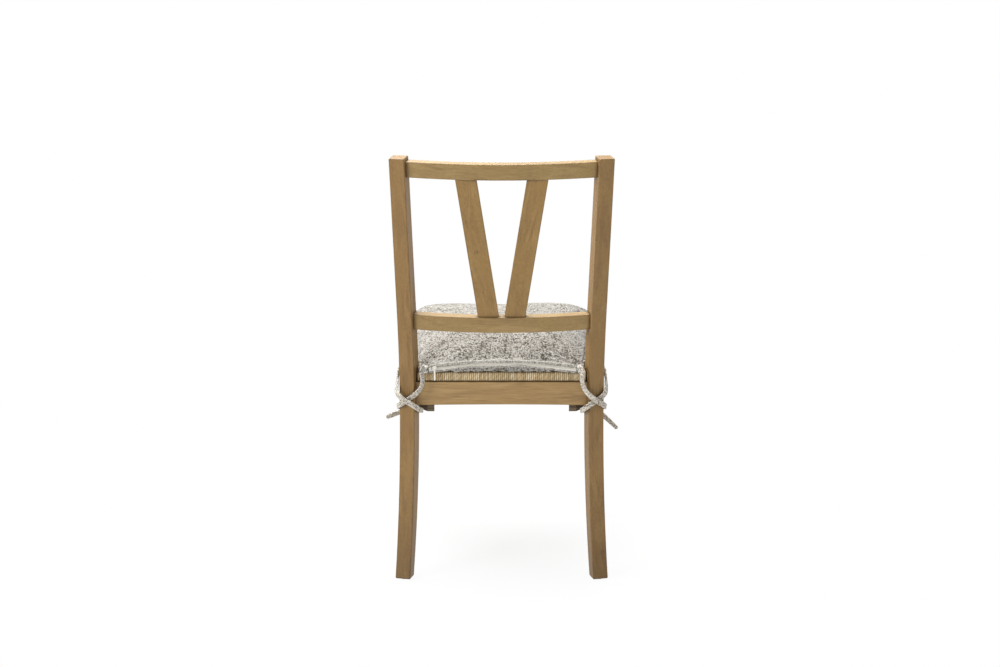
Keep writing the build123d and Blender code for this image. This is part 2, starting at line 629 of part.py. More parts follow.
# ---- assembly --------------------------------------------------------------------------------
def assemble():
    """Every sub-part by name; a list is a group of separate solids."""
    post = rear_leg()
    posts = (post, mirrored(post))
    front = front_leg()
    fronts = (front, mirrored(front))
    left_splat = splat()

    parts = {}
    crest = back_rail(CREST_MID_Z, CREST_THICK)
    lower = back_rail(LOWER_MID_Z, LOWER_THICK)
    for board in (left_splat, mirrored(left_splat)):
        crest = crest - board
        lower = lower - board
    rear_rail = rear_seat_rail(posts)
    front_rail = front_seat_rail(fronts)
    side_rail = side_seat_rail(posts, front) - rear_rail - front_rail

    glides = [glide(foot) for foot in (post, front)]
    for piece in (crest, lower, rear_rail, side_rail, glides[0]):
        post = post - piece
    for piece in (front_rail, side_rail, glides[1]):
        front = front - piece

    rear_face = REAR_RAIL_Y - APRON_THICK
    front_face = FRONT_LEG_Y + FRONT_RAIL_SET_IN + APRON_THICK
    blocks = {
        "rear": corner_block(rear_face, -1, BLOCK_NEAR, BLOCK_FAR, (rear_rail, side_rail)),
        "front": corner_block(front_face, 1, BLOCK_NEAR + FRONT_BLOCK_SHIFT, BLOCK_FAR + FRONT_BLOCK_SHIFT,
                              (front_rail, side_rail, front)),
    }
    block_screws = [*screws_of(rear_face, -1, BLOCK_NEAR), *screws_of(front_face, 1, BLOCK_NEAR + FRONT_BLOCK_SHIFT)]
    seat_screws = []
    seat_screw_length = 80.0
    for block in blocks.values():
        under = block.center()
        seat_screws.append(wood_screw(Vector(under.X, under.Y, BLOCK_BOTTOM_Z), (0, 0, 1), seat_screw_length))
    for name, block in blocks.items():
        for screw in block_screws + seat_screws:
            block = block - screw
        blocks[name] = biggest(block)
    for screw in block_screws:
        rear_rail = rear_rail - screw - mirrored(screw)
        front_rail = front_rail - screw - mirrored(screw)
        side_rail = side_rail - screw

    frame = slip_frame()
    seat = woven_seat(frame)
    for screw in seat_screws:
        for fixing in (screw, mirrored(screw)):
            seat = seat - fixing
            frame = {name: rail - fixing for name, rail in frame.items()}

    foam = cushion_block(COVER_THICK)
    cover = cushion_block(0) - foam
    knots = {"left": knot(1), "right": knot(-1)}
    ties = {
        "tie_left_inner": tie(INNER_ROUTE_LEFT, 1) - knots["left"],
        "tie_left_outer": tie(OUTER_ROUTE_LEFT, 1) - knots["left"],
        "tie_right_inner": tie(INNER_ROUTE_RIGHT, -1) - knots["right"],
        "tie_right_outer": tie(OUTER_ROUTE_RIGHT, -1) - knots["right"],
    }
    ties = {name: clear_of_cushion(piece - cover) for name, piece in ties.items()}

    parts["rear_leg_left"] = post
    parts["rear_leg_right"] = mirrored(post)
    parts["front_leg_left"] = front
    parts["front_leg_right"] = mirrored(front)
    parts["crest_rail"] = crest
    parts["lower_back_rail"] = lower
    parts["splat_left"] = left_splat
    parts["splat_right"] = mirrored(left_splat)
    parts["rear_seat_rail"] = rear_rail
    parts["front_seat_rail"] = front_rail
    parts["side_seat_rail_left"] = side_rail
    parts["side_seat_rail_right"] = mirrored(side_rail)
    for name, block in blocks.items():
        parts[f"corner_block_{name}_left"] = block
        parts[f"corner_block_{name}_right"] = mirrored(block)
    parts["block_screws"] = block_screws + [mirrored(screw) for screw in block_screws]
    parts["seat_screws"] = seat_screws + [mirrored(screw) for screw in seat_screws]
    parts["foot_glides"] = glides + [mirrored(piece) for piece in glides]
    parts.update(frame)
    parts["woven_seat"] = seat
    parts["cushion_cover"] = cover
    parts["cushion_foam"] = foam
    parts.update(zip_fixed())
    parts["zip_slider"] = zip_slider()
    parts["zip_pull"] = zip_pull()
    parts.update(ties)
    parts["knot_left"] = knots["left"]
    parts["knot_right"] = knots["right"]
    return parts


def write(parts):
    """One STEP file for each sub-part."""
    os.makedirs("parts", exist_ok=True)
    for name, shape in parts.items():
        if isinstance(shape, list):
            solids = [solid for piece in shape for solid in piece.solids()]
        else:
            solids = shape.solids()
        whole = solids[0] if len(solids) == 1 else Compound(children=list(solids))
        export_step(whole, f"parts/{name}.step")


chair = assemble()
write(chair)
print("waist Y", round(WAIST_Y, 2), "zip centre Z", round(ZIP_CENTRE_Z, 2), "zip spread", round(ZIP_SPREAD, 3),
      "slider angle", round(SLIDER_ANGLE, 3), "pull pin", (zip_place(SLIDER_ANGLE) * Pos(0, PIN_OUT, 0)).position)
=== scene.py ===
import bpy
import json
import math
import random
from mathutils import Matrix, Vector, noise


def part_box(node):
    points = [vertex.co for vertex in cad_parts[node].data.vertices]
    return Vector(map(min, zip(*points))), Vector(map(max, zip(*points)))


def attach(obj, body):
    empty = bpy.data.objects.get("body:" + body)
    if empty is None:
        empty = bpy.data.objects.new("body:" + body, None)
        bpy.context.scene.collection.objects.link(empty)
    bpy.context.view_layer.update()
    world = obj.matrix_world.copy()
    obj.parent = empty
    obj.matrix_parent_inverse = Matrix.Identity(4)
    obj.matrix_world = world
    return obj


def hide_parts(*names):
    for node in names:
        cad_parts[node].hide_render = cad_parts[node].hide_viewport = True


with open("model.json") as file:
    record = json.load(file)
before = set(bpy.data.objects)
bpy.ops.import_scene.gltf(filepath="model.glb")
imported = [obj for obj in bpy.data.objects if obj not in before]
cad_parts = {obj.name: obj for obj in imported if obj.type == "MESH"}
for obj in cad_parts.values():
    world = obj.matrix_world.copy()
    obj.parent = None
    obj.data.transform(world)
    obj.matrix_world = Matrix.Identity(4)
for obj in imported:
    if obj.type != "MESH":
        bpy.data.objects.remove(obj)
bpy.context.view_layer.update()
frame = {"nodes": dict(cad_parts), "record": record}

MM = 0.001
NODES = frame["nodes"]

# ---- places taken from the frame -------------------------------------------------------------
SEAT_LOW, SEAT_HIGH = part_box("woven_seat")
COVER_LOW, COVER_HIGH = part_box("cushion_cover")
CHAIN_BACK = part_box("zip_chain")[1].y
WAIST_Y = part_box("rear_seat_rail")[1].y + 2.0 * MM      # the outer back corners of the posts at the waist
ZIP_JOINT = next(joint for joint in frame["record"]["behaviour"]["joints"] if joint["name"] == "zip_travel")
ZIP_CENTRE = Vector(ZIP_JOINT["pos_m"])
ZIP_TAPE_REACH = 7.0 * MM        # the upper tape above the chain's middle line
ZIP_HALF_LENGTH = 148.0 * MM     # half of the zip, measured straight across
ZIP_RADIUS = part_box("zip_tape_upper")[1].z - ZIP_CENTRE.z - ZIP_TAPE_REACH
ZIP_HALF_ANGLE = math.asin(ZIP_HALF_LENGTH / ZIP_RADIUS)


# ---- small tools -----------------------------------------------------------------------------
def deselect():
    bpy.ops.object.select_all(action="DESELECT")


def activate(piece):
    deselect()
    piece.select_set(True)
    bpy.context.view_layer.objects.active = piece


def apply_modifiers(piece):
    activate(piece)
    for modifier in list(piece.modifiers):
        bpy.ops.object.modifier_apply(modifier=modifier.name)


def settle(piece):
    """Leaves a piece's object at the origin, unturned and unscaled."""
    activate(piece)
    bpy.ops.object.transform_apply(location=True, rotation=True, scale=True)


def face_outwards(piece, weld=False):
    """Turns every face outwards, after welding the doubled points if weld is set."""
    activate(piece)
    bpy.ops.object.mode_set(mode="EDIT")
    bpy.ops.mesh.select_all(action="SELECT")
    if weld:
        bpy.ops.mesh.remove_doubles(threshold=0.01 * MM)
    bpy.ops.mesh.normals_make_consistent(inside=False)
    bpy.ops.object.mode_set(mode="OBJECT")


def duplicate(piece):
    copy = piece.copy()
    copy.data = piece.data.copy()
    bpy.context.scene.collection.objects.link(copy)
    return copy


def join(pieces):
    deselect()
    for piece in pieces:
        piece.select_set(True)
    bpy.context.view_layer.objects.active = pieces[0]
    bpy.ops.object.join()
    return pieces[0]


def coat(piece, surface):
    piece.data.materials.clear()
    piece.data.materials.append(surface)


def finish_piece(piece, name, surface, stands_for=()):
    piece.name = name
    piece.data.name = name
    settle(piece)
    coat(piece, surface)
    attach(piece, "chair")
    if stands_for:
        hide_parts(*stands_for)
    return piece


def mesh_piece(name, vertices, faces):
    mesh = bpy.data.meshes.new(name)
    mesh.from_pydata([tuple(v) for v in vertices], [], faces)
    mesh.update()
    piece = bpy.data.objects.new(name, mesh)
    bpy.context.scene.collection.objects.link(piece)
    return piece


# ---- materials -------------------------------------------------------------------------------
# Settings that many nodes share: a smooth step, a colour mix, a tint and a product. A step, MapRange, rises
# from its input 1 to its input 2, and gives 3 to 4 where that isn't 0 to 1. A mix's colours are 6 and 7.
STEP = {"interpolation_type": "SMOOTHSTEP"}
BLEND = {"data_type": "RGBA", "blend_type": "MIX"}
TINT = {"data_type": "RGBA", "blend_type": "MULTIPLY"}
TIMES = {"operation": "MULTIPLY"}


def linear(hex_value):
    """An sRGB hex colour as linear RGBA."""
    channels = [int(hex_value[i:i + 2], 16) / 255 for i in (1, 3, 5)]
    return (*[c / 12.92 if c <= 0.04045 else ((c + 0.055) / 1.055) ** 2.4 for c in channels], 1.0)


def new_material(name):
    surface = bpy.data.materials.new(name)
    surface.use_nodes = True
    tree = surface.node_tree
    return surface, tree, tree.nodes["Principled BSDF"]


def add(tree, kind, settings=None, inputs=None, take=None):
    """Adds a shader node with its settings and its inputs, which are values or sockets to link.

    It returns the output called take, or the node if take is None. The stops of a colour ramp are a
    setting as well, each a place and a hex colour.
    """
    node = tree.nodes.new("ShaderNode" + kind)
    for key, value in (settings or {}).items():
        if key == "stops":
            elements = node.color_ramp.elements
            while len(elements) < len(value):
                elements.new(0.5)
            for element, (place, hex_value) in zip(elements, value):
                element.position = place
                element.color = linear(hex_value)
        else:
            setattr(node, key, value)
    for key, value in (inputs or {}).items():
        if isinstance(value, bpy.types.NodeSocket):
            tree.links.new(value, node.inputs[key])
        else:
            node.inputs[key].default_value = value
    return node if take is None else node.outputs[take]


def finish_material(tree, shader, tone, settings, height, strength, depth):
    """Joins a material's colour, its other values and its relief to the shader."""
    relief = add(tree, "Bump", None, {"Height": height, "Strength": strength, "Distance": depth}, "Normal")
    for key, value in {"Base Color": tone, "Normal": relief, **settings}.items():
        if isinstance(value, bpy.types.NodeSocket):
            tree.links.new(value, shader.inputs[key])
        else:
            shader.inputs[key].default_value = value


def stained_hardwood(name, turn, shift, rubbed, knot=None):
    """Beech with a wiped brown stain and a matt lacquer.

    The eye sees fine straight grain along each part, soft darker figure, stain that has stayed dark in
    the joints and along the eased edges, painted shade in the joints, under the ties and between parts,
    feet painted darker as shade from the floor, and a few dents and specks of distressing. turn lays the
    grain, which runs along Z, along the part, and shift gives each part its own piece of the board. rubbed
    is white where the stain was rubbed palest, and darker and browner where more of it was left. knot is
    the place of a small dark knot.
    """
    surface, tree, shader = new_material(name)
    place = add(tree, "TexCoord", take="Object")
    laid = add(tree, "Mapping", {"vector_type": "TEXTURE"},
               {"Vector": place, "Rotation": turn, "Location": shift}, "Vector")
    # pores about 0.9 mm apart and 30 times as long; figure about 14 mm across and 9 times as long
    noises = []
    for scale, detail, roughness, distortion in (
            ((1100, 1100, 34), 3.0, 0.6, 0.0), ((72, 72, 7), 3.0, 0.55, 1.2), ((30, 30, 11), 2.0, 0.5, 0.0)):
        drawn = add(tree, "Mapping", None, {"Vector": laid, "Scale": scale}, "Vector")
        noises.append(add(tree, "TexNoise", None, {"Vector": drawn, "Scale": 1.0, "Detail": detail,
                                                   "Roughness": roughness, "Distortion": distortion}, "Fac"))
    fine, broad, cloudy = noises
    tone = add(tree, "ValToRGB", {"stops": [(0.32, "#7E6037"), (0.50, "#9F804F"), (0.68, "#BA9A66")]},
               {"Fac": broad}, "Color")
    clouded = add(tree, "MapRange", STEP, {"Value": cloudy, 1: 0.35, 2: 0.75}, "Result")
    tone = add(tree, "Mix", BLEND, {"Factor": clouded, 6: tone, 7: linear("#A3824C")}, 2)
    grain = add(tree, "ValToRGB", {"stops": [(0.25, "#6B502E"), (0.48, "#A38151"), (0.80, "#BDA170")]},
                {"Fac": fine}, "Color")
    tone = add(tree, "Mix", BLEND, {"Factor": 0.5, 6: tone, 7: grain}, 2)
    tone = add(tree, "Mix", TINT, {"Factor": 1.0, 6: tone, 7: linear(rubbed)}, 2)
    # painted shade from the floor: the feet darker, fading out over the lowest 220 mm
    above = add(tree, "SeparateXYZ", None, {"Vector": place}, "Z")
    painted_floor_shade = add(tree, "MapRange", STEP, {"Value": above, 1: 220 * MM, 2: -20 * MM}, "Result")
    tone = add(tree, "Mix", TINT, {"Factor": painted_floor_shade, 6: tone, 7: linear("#CFCBC4")}, 2)
    # stain kept round the eased edges; the joints darker with kept stain and painted shade, and painted shade
    # under the ties and between parts
    crowded = add(tree, "AmbientOcclusion", {"samples": 6}, {"Distance": 9 * MM}, "AO")
    joint_stain_and_painted_shade = add(tree, "MapRange", STEP, {"Value": crowded, 1: 0.90, 2: 0.52}, "Result")
    rounded = add(tree, "Bevel", {"samples": 4}, {"Radius": 3.2 * MM}, "Normal")
    flat = add(tree, "NewGeometry", take="True Normal")
    agree = add(tree, "VectorMath", {"operation": "DOT_PRODUCT"}, {0: rounded, 1: flat}, "Value")
    edge = add(tree, "MapRange", STEP, {"Value": agree, 1: 0.997, 2: 0.92}, "Result")
    worn = add(tree, "TexNoise", None,
               {"Vector": laid, "Scale": 45.0, "Detail": 2.0, "Roughness": 0.55}, "Fac")
    patchy = add(tree, "MapRange", STEP, {"Value": worn, 1: 0.32, 2: 0.62}, "Result")
    edge = add(tree, "Math", TIMES, {0: edge, 1: patchy}, "Value")
    edge = add(tree, "Math", TIMES, {0: edge, 1: 0.60}, "Value")
    joint_stain_and_painted_shade = add(tree, "Math", TIMES, {0: joint_stain_and_painted_shade, 1: 0.85}, "Value")
    for share, colour in ((edge, "#4E351B"), (joint_stain_and_painted_shade, "#482E15")):
        tone = add(tree, "Mix", BLEND, {"Factor": share, 6: tone, 7: linear(colour)}, 2)
    # specks and small dents of distressing, about 2 mm across and 30 mm apart
    spots = add(tree, "TexVoronoi", {"feature": "F1"}, {"Vector": laid, "Scale": 34.0, "Randomness": 1.0})
    speck = add(tree, "MapRange", STEP, {"Value": spots.outputs["Distance"], 1: 0.060, 2: 0.030}, "Result")
    own = add(tree, "SeparateColor", None, {"Color": spots.outputs["Color"]}, "Red")
    few = add(tree, "MapRange", STEP, {"Value": own, 1: 0.55, 2: 0.75}, "Result")
    speck = add(tree, "Math", TIMES, {0: speck, 1: few}, "Value")
    tone = add(tree, "Mix", BLEND, {"Factor": speck, 6: tone, 7: linear("#432E17")}, 2)
    if knot:
        # a knot 9 mm across: a dark eye in broken rings 2.6 mm apart
        away = add(tree, "VectorMath", {"operation": "DISTANCE"}, {0: place, 1: knot}, "Value")
        phase = add(tree, "Math", TIMES, {0: away, 1: 2400.0}, "Value")
        rings = add(tree, "Math", {"operation": "SINE"}, {0: phase}, "Value")
        torn = add(tree, "TexNoise", None,
                   {"Vector": place, "Scale": 420.0, "Detail": 2.0, "Roughness": 0.55}, "Fac")
        broken = add(tree, "MapRange", STEP, {"Value": torn, 1: 0.36, 2: 0.60}, "Result")
        dark = add(tree, "MapRange", STEP, {"Value": rings, 1: -0.6, 2: 0.8}, "Result")
        near = add(tree, "MapRange", STEP, {"Value": away, 1: 7.0 * MM, 2: 2.0 * MM}, "Result")
        eye = add(tree, "Math", TIMES, {0: dark, 1: broken}, "Value")
        eye = add(tree, "Math", TIMES, {0: eye, 1: near}, "Value")
        tone = add(tree, "Mix", BLEND, {"Factor": eye, 6: tone, 7: linear("#3E2D17")}, 2)
    rough = add(tree, "MapRange", None, {"Value": fine, 3: 0.46, 4: 0.62}, "Result")
    dents = add(tree, "Math", {"operation": "SUBTRACT"}, {0: fine, 1: speck}, "Value")
    lacquer = {"Roughness": rough, "IOR": 1.5, "Coat Weight": 0.12, "Coat Roughness": 0.45}
    finish_material(tree, shader, tone, lacquer, dents, 0.35, 0.25 * MM)
    return surface


def paper_cord(name, turn):
    """Twisted kraft paper cord, laid by hand.

    The eye sees round straw-coloured strands 4 mm apart, each a little lighter or darker than the next,
    with the slanting lines of the paper's twist and painted shade in the gaps between strands. turn lays
    the strands' own direction along Y.
    """
    surface, tree, shader = new_material(name)
    place = add(tree, "TexCoord", take="Object")
    laid = add(tree, "Mapping", None, {"Vector": place, "Rotation": (0, 0, turn)}, "Vector")
    own = add(tree, "Attribute", {"attribute_name": "strand"}, take="Fac")
    # fibres 0.8 mm wide and 25 mm long; the twist's lines come every 3.5 mm
    drawn = add(tree, "Mapping", None, {"Vector": laid, "Scale": (1250, 40, 1250)}, "Vector")
    fibre = add(tree, "TexNoise", None,
                {"Vector": drawn, "Scale": 1.0, "Detail": 3.0, "Roughness": 0.6}, "Fac")
    twist = add(tree, "TexWave", {"bands_direction": "DIAGONAL"},
                {"Vector": laid, "Scale": 52.0, "Distortion": 1.2, "Detail": 1.0, "Detail Scale": 40.0},
                "Fac")
    patches = add(tree, "TexNoise", None,
                  {"Vector": laid, "Scale": 38.0, "Detail": 3.0, "Roughness": 0.6}, "Fac")
    tone = add(tree, "ValToRGB", {"stops": [(0.0, "#A5885C"), (0.35, "#CAB083"), (0.7, "#DECBA4"),
                                            (1.0, "#EFE2C6")]}, {"Fac": own}, "Color")
    threads = add(tree, "ValToRGB", {"stops": [(0.25, "#9C7F52"), (0.5, "#CDB487"), (0.78, "#E9DBBB")]},
                  {"Fac": fibre}, "Color")
    tone = add(tree, "Mix", BLEND, {"Factor": 0.45, 6: tone, 7: threads}, 2)
    tanned = add(tree, "MapRange", STEP, {"Value": patches, 1: 0.5, 2: 0.75}, "Result")
    tone = add(tree, "Mix", BLEND, {"Factor": tanned, 6: tone, 7: linear("#BFA273")}, 2)
    lines = add(tree, "MapRange", STEP, {"Value": twist, 1: 0.25, 2: 0.02}, "Result")
    lines = add(tree, "Math", TIMES, {0: lines, 1: 0.4}, "Value")
    tone = add(tree, "Mix", BLEND, {"Factor": lines, 6: tone, 7: linear("#8D7148")}, 2)
    # painted shade in the gaps between strands, darker where neighbouring strands are close
    crowded = add(tree, "AmbientOcclusion", {"samples": 6}, {"Distance": 2.5 * MM}, "AO")
    gaps = add(tree, "MapRange", STEP, {"Value": crowded, 1: 0.80, 2: 0.28}, "Result")
    tone = add(tree, "Mix", BLEND, {"Factor": gaps, 6: tone, 7: linear("#57421F")}, 2)
    height = add(tree, "Math", {"operation": "ADD"}, {0: fibre, 1: twist}, "Value")
    finish_material(tree, shader, tone, {"Roughness": 0.72, "Sheen Weight": 0.12}, height, 0.5, 0.3 * MM)
    return surface


def boucle(name, loop, light, dark, warm, speckle):
    """Boucle yarn woven in off-white with a grey thread.

    The eye sees a pebbled, matt, granular cloth: pale loops with grey between and through them, so that it
    looks speckled from a distance. loop is the loops' spacing; the real ones are 2 to 3 mm apart, and are
    drawn a little coarser so that they show. The higher speckle is, the fewer loops are of grey thread.
    """
    surface, tree, shader = new_material(name)
    place = add(tree, "TexCoord", take="Object")
    drift = add(tree, "TexNoise", None, {"Vector": place, "Scale": 0.35 / loop, "Detail": 2.0}, "Color")
    pushed = add(tree, "VectorMath", {"operation": "MULTIPLY_ADD"},
                 {0: drift, 1: (0.5 * loop,) * 3, 2: place}, "Vector")
    loops = add(tree, "TexVoronoi", {"feature": "F1"}, {"Vector": pushed, "Scale": 1.0 / loop})
    small = add(tree, "TexVoronoi", {"feature": "SMOOTH_F1"},
                {"Vector": pushed, "Scale": 2.3 / loop, "Smoothness": 0.4}, "Distance")
    far = loops.outputs["Distance"]
    own = add(tree, "SeparateColor", None, {"Color": loops.outputs["Color"]}, "Red")
    patch = add(tree, "TexNoise", None,
                {"Vector": place, "Scale": 0.16 / loop, "Detail": 3.0, "Roughness": 0.6}, "Fac")
    warmth = add(tree, "MapRange", STEP, {"Value": own, 1: 0.1, 2: 0.95}, "Result")
    tone = add(tree, "Mix", BLEND, {"Factor": warmth, 6: linear(light), 7: linear(warm)}, 2)
    gaps = add(tree, "MapRange", STEP, {"Value": far, 1: 0.46, 2: 0.80}, "Result")
    thread = add(tree, "MapRange", STEP, {"Value": own, 1: speckle, 2: speckle + 0.12}, "Result")
    grey = add(tree, "Math", {"operation": "MAXIMUM"}, {0: gaps, 1: thread}, "Value")
    patchy = add(tree, "MapRange", STEP, {"Value": patch, 1: 0.12, 2: 0.62}, "Result")
    grey = add(tree, "Math", TIMES, {0: grey, 1: patchy}, "Value")
    tone = add(tree, "Mix", BLEND, {"Factor": grey, 6: tone, 7: linear(dark)}, 2)
    pits = add(tree, "MapRange", STEP, {"Value": small, 1: 0.38, 2: 0.75}, "Result")
    tone = add(tree, "Mix", TINT, {"Factor": pits, 6: tone, 7: linear("#B7B0A5")}, 2)
    # painted shade, warmed as by light bounced off the seat: the cloth browner where it is close to its
    # neighbours
    crowded = add(tree, "AmbientOcclusion", {"samples": 6}, {"Distance": 24 * MM}, "AO")
    painted_shade_and_bounce = add(tree, "MapRange", STEP, {"Value": crowded, 1: 0.70, 2: 0.20}, "Result")
    painted_shade_and_bounce = add(tree, "Math", TIMES, {0: painted_shade_and_bounce, 1: 0.80}, "Value")
    tone = add(tree, "Mix", BLEND, {"Factor": painted_shade_and_bounce, 6: tone, 7: linear("#6C583C")}, 2)
    # the further from a loop's middle, the lower
    height = add(tree, "Math", {"operation": "MULTIPLY_ADD"}, {0: small, 1: 0.5, 2: far}, "Value")
    height = add(tree, "Math", TIMES, {0: height, 1: -1.0}, "Value")
    woolly = {"Roughness": 0.95, "Specular IOR Level": 0.15, "Sheen Weight": 0.15}
    finish_material(tree, shader, tone, woolly, height, 0.6, 0.4 * loop)
    return surface


def fine_cloth(name, light, dark, pitch):
    """Plain woven polyester or cotton thread.

    The eye sees a tight regular weave with a faint difference between the two sets of threads. pitch is
    the thread spacing, drawn coarser than the real 0.4 mm so that it shows.
    """
    surface, tree, shader = new_material(name)
    place = add(tree, "TexCoord", take="Object")
    slant = add(tree, "Mapping", None, {"Vector": place, "Rotation": (0, math.radians(38), 0)}, "Vector")
    threads = {"Vector": slant, "Scale": 0.314 / pitch, "Distortion": 0.6}
    rows = add(tree, "TexWave", {"bands_direction": "X"}, threads, "Fac")
    columns = add(tree, "TexWave", {"bands_direction": "Z"}, threads, "Fac")
    weave = add(tree, "Math", {"operation": "MAXIMUM"}, {0: rows, 1: columns}, "Value")
    fuzz = add(tree, "TexNoise", None,
               {"Vector": place, "Scale": 0.8 / pitch, "Detail": 3.0, "Roughness": 0.55}, "Fac")
    hollow = add(tree, "MapRange", STEP, {"Value": weave, 1: 0.9, 2: 0.25}, "Result")
    tone = add(tree, "Mix", BLEND, {"Factor": hollow, 6: linear(light), 7: linear(dark)}, 2)
    soiled = add(tree, "MapRange", STEP, {"Value": fuzz, 1: 0.45, 2: 0.8}, "Result")
    tone = add(tree, "Mix", BLEND, {"Factor": soiled, 6: tone, 7: linear(dark)}, 2)
    finish_material(tree, shader, tone, {"Roughness": 0.85}, weave, 0.5, 0.3 * pitch)
    return surface


def sawn_softwood(name, light, dark, turn):
    """Planed pine, brushed with stain or left bare.

    The eye sees broad straight growth rings and a dry, slightly fuzzy surface. turn lays the grain along
    the piece.
    """
    surface, tree, shader = new_material(name)
    place = add(tree, "TexCoord", take="Object")
    laid = add(tree, "Mapping", {"vector_type": "TEXTURE"}, {"Vector": place, "Rotation": turn}, "Vector")
    # rings about 4 mm apart, fibres about 1 mm wide
    stretched = add(tree, "Mapping", None, {"Vector": laid, "Scale": (250, 250, 9)}, "Vector")
    fibres = add(tree, "Mapping", None, {"Vector": laid, "Scale": (1000, 1000, 30)}, "Vector")
    rings = add(tree, "TexNoise", None, {"Vector": stretched, "Scale": 1.0, "Detail": 2.0, "Roughness": 0.5,
                                         "Distortion": 0.8}, "Fac")
    fibre = add(tree, "TexNoise", None,
                {"Vector": fibres, "Scale": 1.0, "Detail": 3.0, "Roughness": 0.55}, "Fac")
    late = add(tree, "MapRange", STEP, {"Value": rings, 1: 0.35, 2: 0.65}, "Result")
    tone = add(tree, "Mix", BLEND, {"Factor": late, 6: linear(light), 7: linear(dark)}, 2)
    fuzzy = add(tree, "MapRange", STEP, {"Value": fibre, 1: 0.4, 2: 0.9}, "Result")
    tone = add(tree, "Mix", BLEND, {"Factor": fuzzy, 6: tone, 7: linear(dark)}, 2)
    finish_material(tree, shader, tone, {"Roughness": 0.8}, fibre, 0.5, 0.3 * MM)
    return surface


def moulded_or_cast(name, colour, spot, roughness, metallic, grit):
    """A small hard part, moulded in nylon or cast in metal.

    The eye sees an even colour with faint mottling and a fine tumbled texture. grit is the texture's grain.
    """
    surface, tree, shader = new_material(name)
    place = add(tree, "TexCoord", take="Object")
    mottle = add(tree, "TexNoise", None,
                 {"Vector": place, "Scale": 0.25 / grit, "Detail": 3.0, "Roughness": 0.55}, "Fac")
    fine = add(tree, "TexNoise", None,
               {"Vector": place, "Scale": 1.0 / grit, "Detail": 2.0, "Roughness": 0.55}, "Fac")
    spotted = add(tree, "MapRange", STEP, {"Value": mottle, 1: 0.35, 2: 0.8}, "Result")
    tone = add(tree, "Mix", BLEND, {"Factor": spotted, 6: linear(colour), 7: linear(spot)}, 2)
    rough = add(tree, "MapRange", None, {"Value": fine, 3: roughness - 0.08, 4: roughness + 0.10}, "Result")
    finish_material(tree, shader, tone, {"Roughness": rough, "Metallic": metallic}, fine, 0.3, 0.1 * MM)
    return surface


# ---- camera, light and floor -----------------------------------------------------------------
def camera():
    """Behind the chair and a little above it, looking slightly down."""
    distance = 3.7713
    height = 1.335
    down = math.radians(12.19)
    data = bpy.data.cameras.new("camera")
    data.sensor_width = 36.0
    data.lens = 67.2
    eye = bpy.data.objects.new("camera", data)
    bpy.context.scene.collection.objects.link(eye)
    eye.location = (3.5 * MM, WAIST_Y + distance, height)
    eye.rotation_euler = (math.pi / 2 - down, 0, math.pi)
    bpy.context.scene.camera = eye


def area_light(name, place, aim, size, power):
    data = bpy.data.lights.new(name, "AREA")
    data.shape = "RECTANGLE"
    data.size, data.size_y = size
    data.energy = power
    lamp = bpy.data.objects.new(name, data)
    bpy.context.scene.collection.objects.link(lamp)
    lamp.location = place
    lamp.rotation_euler = (Vector(aim) - Vector(place)).to_track_quat("-Z", "Y").to_euler()


def studio():
    scene = bpy.context.scene
    scene.view_settings.view_transform = "Standard"
    world = bpy.data.worlds.new("soft white room")
    scene.world = world
    world.use_nodes = True
    tree = world.node_tree
    background = tree.nodes["Background"]
    background.inputs["Color"].default_value = (1.0, 1.0, 1.0, 1.0)
    # dim all round, and plain white for the few degrees where the room meets the floor's far edge
    view = add(tree, "TexCoord", take="Generated")
    rise = add(tree, "SeparateXYZ", None, {"Vector": view}, "Z")
    glow = add(tree, "MapRange", STEP,
               {"Value": rise, 1: 0.05, 2: 0.13, 3: 1.0, 4: 0.42}, "Result")
    tree.links.new(glow, background.inputs["Strength"])
    area_light("key", (3.2, 2.3, 2.2), (0, 0.1, 0.5), (1.5, 1.5), 76.0)
    area_light("overhead", (0.5, -0.7, 3.0), (0, 0, 0.4), (2.4, 2.2), 160.0)
    floor, tree, shader = new_material("matt white paper floor")
    shader.inputs["Base Color"].default_value = linear("#F4F4F4")
    shader.inputs["Roughness"].default_value = 0.9
    shader.inputs["Specular IOR Level"].default_value = 0.1
    # away from the chair the paper is lit until it is plain white
    place = add(tree, "TexCoord", take="Object")
    away = add(tree, "VectorMath", {"operation": "LENGTH"}, {0: place}, "Value")
    share = add(tree, "MapRange", STEP, {"Value": away, 1: -2.2, 2: 0.75}, "Result")
    lit = add(tree, "Emission", None, {"Color": (1, 1, 1, 1), "Strength": 1.0}, "Emission")
    both = add(tree, "MixShader", None, {"Fac": share, 1: shader.outputs["BSDF"], 2: lit}, "Shader")
    tree.links.new(both, tree.nodes["Material Output"].inputs["Surface"])
    deselect()
    bpy.ops.mesh.primitive_plane_add(size=140.0, location=(0, 0, 0))
    ground = bpy.context.active_object
    ground.name = "floor"
    ground.data.materials.append(floor)


